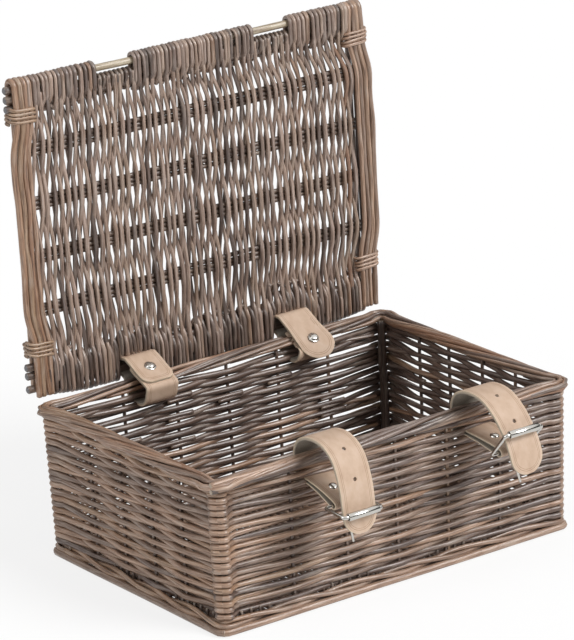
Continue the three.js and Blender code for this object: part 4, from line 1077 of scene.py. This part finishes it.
suede = mix_colour(tree, "MIX", nap, hex_colour("#8F867B"), hex_colour("#A79E92"))
tree.links.new(mix_colour(tree, "MIX", under, rimmed, suede), shader.inputs["Base Color"])
groove = spread(tree, lines, 0.6, 1.0)
bump(tree, maths(tree, "ADD", groove, maths(tree, "MULTIPLY", pore, 0.25)), shader, 0.3)
print("finish:", hide.name)

# %% Flat strips
def outline(length, half, corner):
    """The strip's half width and the distance in from its edge, for an end with rounded corners."""
    begin = length - corner

    def half_at(u):
        past = np.clip((u - begin) / corner, 0, 1)
        return half - corner + corner * np.sqrt(1 - past ** 2)

    def inset(u, v):
        beyond = np.hypot(np.clip(u - begin, 0, None), np.clip(np.abs(v) - half + corner, 0, None))
        return np.where(u > begin, corner - beyond, half - np.abs(v))

    return half_at, inset


def cut_rows(length, corner, step, marks=()):
    """Places along a strip: even ones, given ones, and closer ones round its end."""
    straight = np.linspace(0, length - corner, max(2, int((length - corner) / step)))
    rounded = length - corner + corner * np.sin(np.linspace(0, math.asin(0.975), 11))
    return np.unique(np.round(np.concatenate([straight, rounded, marks]), 4))


def shape_with(piece, kind, **settings):
    modifier = piece.modifiers.new(kind.lower(), kind)
    for setting, value in settings.items():
        setattr(modifier, setting, value)
    bpy.context.view_layer.objects.active = piece
    bpy.ops.object.modifier_apply(modifier=modifier.name)


def flat_strip(name, rows, half_at, thick, punches):
    """A strip in millimetres, still flat. A punch is (along, across, length, width)."""
    bpy.ops.mesh.primitive_grid_add(x_subdivisions=len(rows) - 1, y_subdivisions=6, size=2)
    piece = bpy.context.object
    piece.name = name
    for point in piece.data.vertices:
        u = rows[round((point.co.x + 1) / 2 * (len(rows) - 1))]
        point.co = (u, point.co.y * half_at(u), 0)
    shape_with(piece, "SOLIDIFY", thickness=thick, offset=0)
    for u, v, length, width in punches:
        bpy.ops.mesh.primitive_cylinder_add(vertices=20, radius=1, depth=8, location=(u, v, 0))
        punch = bpy.context.object
        punch.scale = (length / 2, width / 2, 1)
        bpy.context.view_layer.update()
        shape_with(piece, "BOOLEAN", operation="DIFFERENCE", solver="EXACT", object=punch)
        bpy.data.objects.remove(punch)
    shape_with(piece, "BEVEL", width=min(0.5, thick * 0.3), segments=2,
               limit_method="ANGLE", angle_limit=math.radians(55))
    return piece


print("a strap's rows:", len(cut_rows(100, 13, 2.0)), "for 100 mm")

# %% Smooth paths
def smooth_path(points, step=0.8):
    """A smooth line through the points, evenly stepped.

    Each stretch between two points is blended from the straight lines through its four nearest ones.
    """
    points = np.asarray(points, float)
    points = np.vstack([2 * points[0] - points[1], points, 2 * points[-1] - points[-2]])
    line = []
    for four in zip(points[:-3], points[1:-2], points[2:-1], points[3:]):
        knots = np.cumsum([0, *[np.linalg.norm(b - a) ** 0.5 for a, b in zip(four, four[1:])]])
        t = np.linspace(knots[1], knots[2], 24, endpoint=False)[:, None]
        level = four
        for span, starts in ((1, (0, 1, 2)), (2, (0, 1)), (1, (1,))):
            level = [(a * (knots[i + span] - t) + b * (t - knots[i])) / (knots[i + span] - knots[i])
                     for i, a, b in zip(starts, level, level[1:])]
        line.append(level[0])
    line = np.vstack([*line, points[-2:-1]])
    run = run_along(line)
    even = np.linspace(0, run[-1], int(run[-1] / step) + 2)
    return even, between(even, run, line)


print("a path of 10 mm has", len(smooth_path([(0, 0, 0), (5, 0, 0), (10, 0, 0)])[0]), "steps")

# %% Bending a strip
SMOOTH_ANGLE = math.radians(40)


def bend_along(piece, path, roll):
    """Wraps a flat strip round a path, scales it to metres, and gives its flat places."""
    run, line = path
    flat = np.array([point.co for point in piece.data.vertices])
    u, v, w = flat.T
    ahead = unit(np.gradient(line, axis=0))
    aside = unit(np.cross(np.cross(ahead, (1, 0, 0)), ahead))
    aside *= np.sign(aside[:, :1])
    face = np.cross(ahead, aside)
    angle = np.broadcast_to(roll, len(run))[:, None]
    aside, face = aside * np.cos(angle) + face * np.sin(angle), face * np.cos(angle) - aside * np.sin(angle)
    middle, aside, face = (between(u, run, field) for field in (line, aside, face))
    bent = middle + aside * v[:, None] + face * w[:, None]
    piece.data.vertices.foreach_set("co", (bent * MM).ravel())
    piece.data.update()
    return u, v, w


def work_on(piece):
    bpy.ops.object.select_all(action="DESELECT")
    piece.select_set(True)
    bpy.context.view_layer.objects.active = piece


def leather(name, path, rows, shape, thick, punches=(), roll=0.0):
    """A finished strip, and how far along it each of its points is.

    Its points keep their flat place, their distance from the edge and whether they are on the suede side.
    """
    half_at, inset = shape
    piece = flat_strip(name, rows, half_at, thick, punches)
    u, v, w = bend_along(piece, path, roll)
    mark_points(piece, "edge", np.clip(inset(u, v), 0, 10))
    mark_points(piece, "under", np.clip(-w * 2 / thick, 0, 1) > 0.6)
    mark_points(piece, "flat", np.column_stack([u, v, w]))
    piece.data.materials.clear()
    piece.data.materials.append(hide)
    work_on(piece)
    bpy.ops.object.shade_smooth_by_angle(angle=SMOOTH_ANGLE)
    piece.select_set(False)
    return piece, u


print("helpers for leather: bend_along, leather")

# %% [markdown]
# ## Closing straps
#
# Each strap comes up inside the front wall, arches over the rim and hangs down in front, leaning a little
# to one side. When the lid shuts it presses the arch flat. A cloth could be let fall over the rim, but the
# shape has to be the same each time, so the strap follows a drawn path. It is then parted in three: the
# root inside, the arch over the rim and the tail in front.

# %% Paths of the straps
STRAP_ROOT, INNER_FACE, OFF_WALL = 86.95, -94.5, 1.4
OVER_RIM = [(-93.1, 102), (-93.1, 111), (-98, 119)]
# Bar, roller and run are measured out and up from the rim's front edge.
CLOSURES = {
    "left": dict(
        x=-61.0, buckle_x=-59.5, lean=3.0, slant=5.0, prong=28.0, bar=(18.5, -31.5), roller=(40.6, -32.5),
        run=[(2, 12.4), (16, 11.2), (26.5, 3), (32.5, -14), (34.3, -32), (36, -48)]),
    "right": dict(
        x=70.0, buckle_x=74.0, lean=6.5, slant=7.0, prong=24.0, bar=(25.5, -27), roller=(42.6, -8.6),
        run=[(3, 12.4), (17, 10.4), (28.5, 1.5), (37.5, -12), (42, -25), (44, -39)]),
}


def from_rim(out, up):
    return np.array([-(RIM_EDGE + out), RIM_TOP + up])


def strap_path(closure):
    inner = INNER_FACE * (1 - FLARE * (RIM_TOP - STRAP_ROOT) / RIM_TOP / RIM_EDGE) + OFF_WALL
    points = [(inner, STRAP_ROOT), *OVER_RIM, *[from_rim(*place) for place in closure["run"]]]
    run, line = smooth_path([(closure["x"], *point) for point in points])
    past_crest = np.clip(run - run[np.argmax(line[:, 2])], 0, None)
    line[:, 0] += closure["lean"] * past_crest / past_crest[-1]
    return run, line


print("straps", [round(strap_path(closure)[0][-1]) for closure in CLOSURES.values()], "mm long")

# %% Closing straps
LEATHER, STRAP_HALF, STRAP_STEP, TIP = 2.2, 13.0, 2.0, 0.3
HOLES_FROM_TIP, HOLE = (58.0, 37.0), 2.8


def keep_rows(piece, name, along, low, high):
    """A copy of a strap with only the stretch between two places along it."""
    part = piece.copy()
    part.data = piece.data.copy()
    part.name = part.data.name = name
    bpy.context.collection.objects.link(part)
    work_on(part)
    middles = [np.mean([along[i] for i in face.vertices]) for face in part.data.polygons]
    bpy.context.tool_settings.mesh_select_mode = (False, False, True)
    part.data.vertices.foreach_set("select", [False] * len(part.data.vertices))
    part.data.edges.foreach_set("select", [False] * len(part.data.edges))
    part.data.polygons.foreach_set("select", [not low < m < high for m in middles])
    bpy.ops.object.mode_set(mode="EDIT")
    bpy.ops.mesh.delete(type="FACE")
    bpy.ops.object.mode_set(mode="OBJECT")
    part.select_set(False)
    return part


for side, closure in CLOSURES.items():
    run, line = path = strap_path(closure)
    above = run[line[:, 2] > RIM_TOP]
    shape = outline(run[-1] + TIP, STRAP_HALF, STRAP_HALF)
    rows = cut_rows(run[-1] + TIP, STRAP_HALF, STRAP_STEP, (above[0], above[-1]))
    punches = [(run[-1] - from_tip, 0, HOLE, HOLE) for from_tip in HOLES_FROM_TIP]
    strap, along = leather(f"{side}_strap", path, rows, shape, LEATHER, punches)
    arch = keep_rows(strap, f"{side}_strap_arch", along, above[0], above[-1])
    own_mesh(arch)
    settle(arch, "basket", "hide")
    settle(keep_rows(strap, f"{side}_strap_root", along, -1, above[0]), "basket", "hide")
    tail = keep_rows(strap, f"{side}_strap_tail", along, above[-1], 999)
    settle(tail, "basket", "hide", f"{side}_closing_strap")
    bpy.data.objects.remove(strap)

# %% [markdown]
# ## Buckle tabs
#
# A short strip comes out of the wall, goes round the near bar of its buckle and back in, with a slot in the
# fold for the prong. It is cut flat like the straps, because the slot is easy to punch there and would be
# hard to cut in the fold.

# %% Buckle tabs
TAB_LAYER, TAB_HALF, FOLD_HALF, FOLD = 1.35, 11.9, 8.4, 2.5
TAB_ROOT, TAB_INNER = np.array([-104.0, 90.5]), np.array([-94.0, 90.5])
TAB_ROWS, TAB_STEP, PRONG_SLOT = 60, 0.4, (13, 5)


def tab_path(closure):
    """Out of the wall, round the bar of the buckle and back."""
    bar = from_rim(*closure["bar"])
    way = unit(bar - TAB_ROOT)
    off = np.array([-way[1], way[0]]) * (1 if way[0] > 0 else -1)
    arc = [bar + FOLD * (off * math.cos(a) + way * math.sin(a)) for a in np.linspace(0, math.pi, 9)]
    if arc[0][1] < arc[-1][1]:
        arc = arc[::-1]
    lift = np.array([0, TAB_LAYER])
    points = [TAB_INNER + lift, TAB_ROOT + lift, *arc, TAB_ROOT - lift, TAB_INNER - lift]
    return smooth_path([(closure["buckle_x"], *point) for point in points], TAB_STEP)


def tab_outline(fold_at):
    """A tab's half width and the distance in from its edge: it is narrow at its fold."""
    def half_at(u):
        share = np.clip(np.abs(u - fold_at) / (fold_at - 12), 0, 1)
        return FOLD_HALF + (TAB_HALF - FOLD_HALF) * share ** 1.5

    def inset(u, v):
        return half_at(u) - np.abs(v)

    return half_at, inset


for side, closure in CLOSURES.items():
    path = tab_path(closure)
    length = path[0][-1]
    rows = np.linspace(0, length, TAB_ROWS)
    punches = [(length / 2, 0, *PRONG_SLOT)]
    tab, _ = leather(f"{side}_tab", path, rows, tab_outline(length / 2), TAB_LAYER, punches)
    settle(tab, "basket", "hide", f"{side}_buckle_tab")

# %% [markdown]
# ## Hinge loops
#
# Each loop goes under the back rim, round the lid's lowest stick and through a slot in its band, and ends
# in a tongue on its own lower layer, held by a rivet. Nothing but these two loops carries the lid. A stiff
# loop would have to stay with the basket or go with the lid, so it is put on neither.

# %% Hinge loops
LOOP_SLOT, LOOP_STEP = 9.1, 0.5


def lid_yz(s, t):
    return on_lid([0], s, t)[0, 1:]


HINGES = {
    "left": dict(
        shift=0.0, roll=0.0, corner=7.0, rivet=14.5,
        lower=[(102.0, 118.3), (96.0, 115.4), (84.6, 110.4), (82.0, 109.0), (83.0, 103.5), (85.4, 98.0)],
        upper=[(108.8, 123.9), (95.0, 117.6), (83.1, 112.0)]),
    "right": dict(
        shift=4.0, roll=0.25, corner=12.7, rivet=16.0,
        lower=[(101.9, 116.3), (96.0, 111.3), (90.8, 107.0), (88.0, 103.4), (87.2, 99.8), (88.2, 96.9)],
        upper=[(108.8, 123.9), (95.3, 113.4), (84.8, 105.4), (81.4, 102.0), (79.6, 99.3), (78.5, 97.0)]),
}
UNDER_RIM = [(90.0, 95.2), (97.5, 95.6), (105.5, 98.2), (108.8, 102.6), (109.4, 108.8)]
ROUND_EDGE = [lid_yz(-1.9, 5.5), lid_yz(-1.9, 11), lid_yz(0.5, 13.1), lid_yz(6.9, 13.1)]
THROUGH_SLOT = [lid_yz(LOOP_SLOT, 11.5), lid_yz(LOOP_SLOT, 5.5), lid_yz(LOOP_SLOT, 0)]
# The share of the sideways shift that each point of the lower layer takes.
LOWER_HANGS = (1, 1, 1, 0.8, 0.5, 0.2)


def loop_path(x, hinge):
    """From the lower layer, under the rim, round the lid's edge and through its slot to the tongue."""
    points = np.array([*hinge["lower"], *UNDER_RIM, *ROUND_EDGE, *THROUGH_SLOT, *hinge["upper"]])
    hangs = np.zeros(len(points))
    hangs[:len(LOWER_HANGS)] = LOWER_HANGS
    hangs[-len(hinge["upper"]):] = 1
    aside = hinge["shift"] * hangs * np.clip((108 - points[:, 0]) / 22, 0, 1)
    return smooth_path(np.column_stack([x + aside, points]), LOOP_STEP)


for (side, hinge), x in zip(HINGES.items(), STRAP_XS):
    run, line = path = loop_path(x, hinge)
    shape = outline(run[-1], STRAP_HALF, hinge["corner"])
    rows = cut_rows(run[-1], hinge["corner"], 1.4)
    rolled = np.clip((run - run[-1] + 28) / 20, 0, 1) + np.clip((26 - run) / 12, 0, 1)
    loop, _ = leather(f"{side}_hinge_strip", path, rows, shape, LEATHER, roll=hinge["roll"] * rolled)
    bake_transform(loop)
    settle(loop, None, "hide", f"{side}_hinge_loop")
    hinge["middle"] = line[np.argmin(np.abs(run - (run[-1] - hinge["rivet"])))]
    hinge["face"] = np.cross(unit(line[-30] - line[-50]), (1, 0, 0))

# %% [markdown]
# ## Metal
#
# Plain nickel, rubbed a little dull: domed rivets, and buckles bent from wire with a tube that rolls on the
# far side. A rivet is round, so it could be spun from its profile. Here the rod helper does the same: a
# rivet is a very short rod whose radius follows the profile.

# %% Nickel and rivets
nickel, tree, shader = surface("nickel", Metallic=1.0, Base_Color=hex_colour("#C9C6C0"))
rub = new_node(tree, "ShaderNodeTexNoise", Scale=900.0, Detail=2.0)
tree.links.new(tree.nodes.new("ShaderNodeTexCoord").outputs["Object"], rub.inputs["Vector"])
tree.links.new(spread(tree, rub.outputs["Fac"], 0.3, 0.7, 0.14, 0.24), shader.inputs["Roughness"])
# A rivet's profile, as heights above the leather's middle and radii.
RIVET = (
    (-3.4, 3.0), (-3.2, 3.4), (-2.6, 3.4), (-2.4, 1.7), (1.0, 1.7), (1.05, 4.0), (1.2, 4.3), (1.5, 4.3),
    (1.75, 3.9), (1.8, 3.3), (2.2, 3.15), (2.7, 2.7), (3.05, 1.9), (3.2, 0.9), (3.25, 0.2))
TAB_RIVET_AT, TAB_RIVET_LIFT = 0.45, 1.0


def rivet(name, middle, face):
    heights, radii = np.array(RIVET).T
    path = np.asarray(middle) + np.outer(heights, unit(np.asarray(face, float)))
    return rods_piece(name, [rod(path, radii, 0.5, up=(1, 0, 0))], nickel, 28, "flat")


for side, hinge in HINGES.items():
    piece = rivet(f"{side}_hinge_stud", hinge["middle"], hinge["face"])
    x = hinge["middle"][0] * MM
    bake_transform(piece)
    settle(piece, None, "nickel", f"{side}_hinge_rivet")
for side, closure in CLOSURES.items():
    reach = from_rim(*closure["bar"]) - TAB_ROOT
    way = unit(reach)
    face = np.array([way[1], -way[0]])
    face *= np.sign(face[1])
    middle = TAB_ROOT + TAB_RIVET_AT * reach + face * TAB_RIVET_LIFT
    piece = rivet(f"{side}_tab_stud", (closure["buckle_x"], *middle), (0, *face))
    settle(piece, "basket", "nickel", f"{side}_tab_rivet")

# %% [markdown]
# ## Buckles
#
# A buckle is a frame of bent wire. Its near bar sits in the fold of the tab and carries the prong by an
# eye, and its far bar carries a tube that rolls when a strap is pulled through. Frame, tube and prong are
# pieces of their own, because each moves by itself. The frame could be a curve with a bevel, but as a
# closed rod it gets its thicker far bar at the same time.

# %% Parts of a buckle
WIRE, FAR_BAR, FRAME_HALF, FRAME_CORNER = 1.1, 1.45, 15.4, 2.5
ROLLER_HALF, ROLLER, ROLLER_LIP, PRONG = 12.4, 2.7, 0.3, 0.9
BORE, BORE_MOUTH, EYE_TURN = 1.9, 2.1, 290


def wire_frame(name, x, bar, far):
    """A rectangle of wire with rounded corners, between the bar and the roller."""
    way = unit(far - bar)
    reach = np.linalg.norm(far - bar)
    loop, thick = [], []
    for cx, cu, begin in ((1, 1, 0), (-1, 1, 90), (-1, 0, 180), (1, 0, 270)):
        for angle in np.radians(np.linspace(begin, begin + 90, 7)):
            aside = x + cx * (FRAME_HALF - FRAME_CORNER) + FRAME_CORNER * math.cos(angle)
            u = (reach - FRAME_CORNER if cu else FRAME_CORNER) + FRAME_CORNER * math.sin(angle)
            loop.append((aside, *(bar + way * u)))
            thick.append(FAR_BAR if cu else WIRE)
    return rods_piece(name, [rod(loop, thick, 0.5, up=(0, -way[1], way[0]))], nickel, 12, "loop")


def roller_tube(name, x, far):
    """A tube round the far bar, with its lips rounded and its bore opened at the mouth."""
    lip = ROLLER_HALF - ROLLER_LIP
    outside = [(-ROLLER_HALF, ROLLER - ROLLER_LIP), (-lip, ROLLER), (lip, ROLLER),
               (ROLLER_HALF, ROLLER - ROLLER_LIP)]
    inside = [(ROLLER_HALF, BORE_MOUTH), (ROLLER_HALF - 1, BORE), (1 - ROLLER_HALF, BORE),
              (-ROLLER_HALF, BORE_MOUTH)]
    angles = np.linspace(0, 2 * math.pi, 28, endpoint=False)
    points = [(x + along, far[0] + radius * math.cos(angle), far[1] + radius * math.sin(angle))
              for along, radius in outside + inside for angle in angles]
    grid = np.arange(len(points)).reshape(-1, len(angles))
    return new_piece(name, points, ring_quads(grid).reshape(-1, 4)[:, ::-1].tolist(), [], nickel)


def prong_wire(name, x, bar, length, slant):
    """A wire that hangs down and aside from an eye round the near bar."""
    ring = WIRE + PRONG + 0.1
    angles = np.radians(np.linspace(0, EYE_TURN, 24))
    eye = [(bar[0] - ring * math.cos(a), bar[1] + ring * math.sin(a)) for a in angles]
    tail = [(bar[0] - ring, z) for z in np.linspace(bar[1] - length, bar[1] - 1, 8)]
    aside = [slant * share for share in np.linspace(1, 0, len(tail))] + [0.0] * len(eye)
    path = [(x + shift, *point) for shift, point in zip(aside, tail + eye)]
    return rods_piece(name, [rod(path, PRONG, 0.5, up=(1, 0, 0))], nickel, 10)


print("a roller has", ROLLER - BORE, "mm of metal round its bore")

# %% Buckles
for side, closure in CLOSURES.items():
    x, bar, far = closure["buckle_x"], from_rim(*closure["bar"]), from_rim(*closure["roller"])
    piece = wire_frame(f"{side}_wire_frame", x, bar, far)
    settle(piece, f"{side}_buckle", "nickel", f"{side}_buckle_frame")
    roller = roller_tube(f"{side}_roller_tube", x, far)
    settle(roller, f"{side}_roller", "nickel", f"{side}_buckle_roller")
    piece = prong_wire(f"{side}_prong_wire", x, bar, closure["prong"], closure["slant"])
    settle(piece, f"{side}_prong", "nickel", f"{side}_buckle_prong")
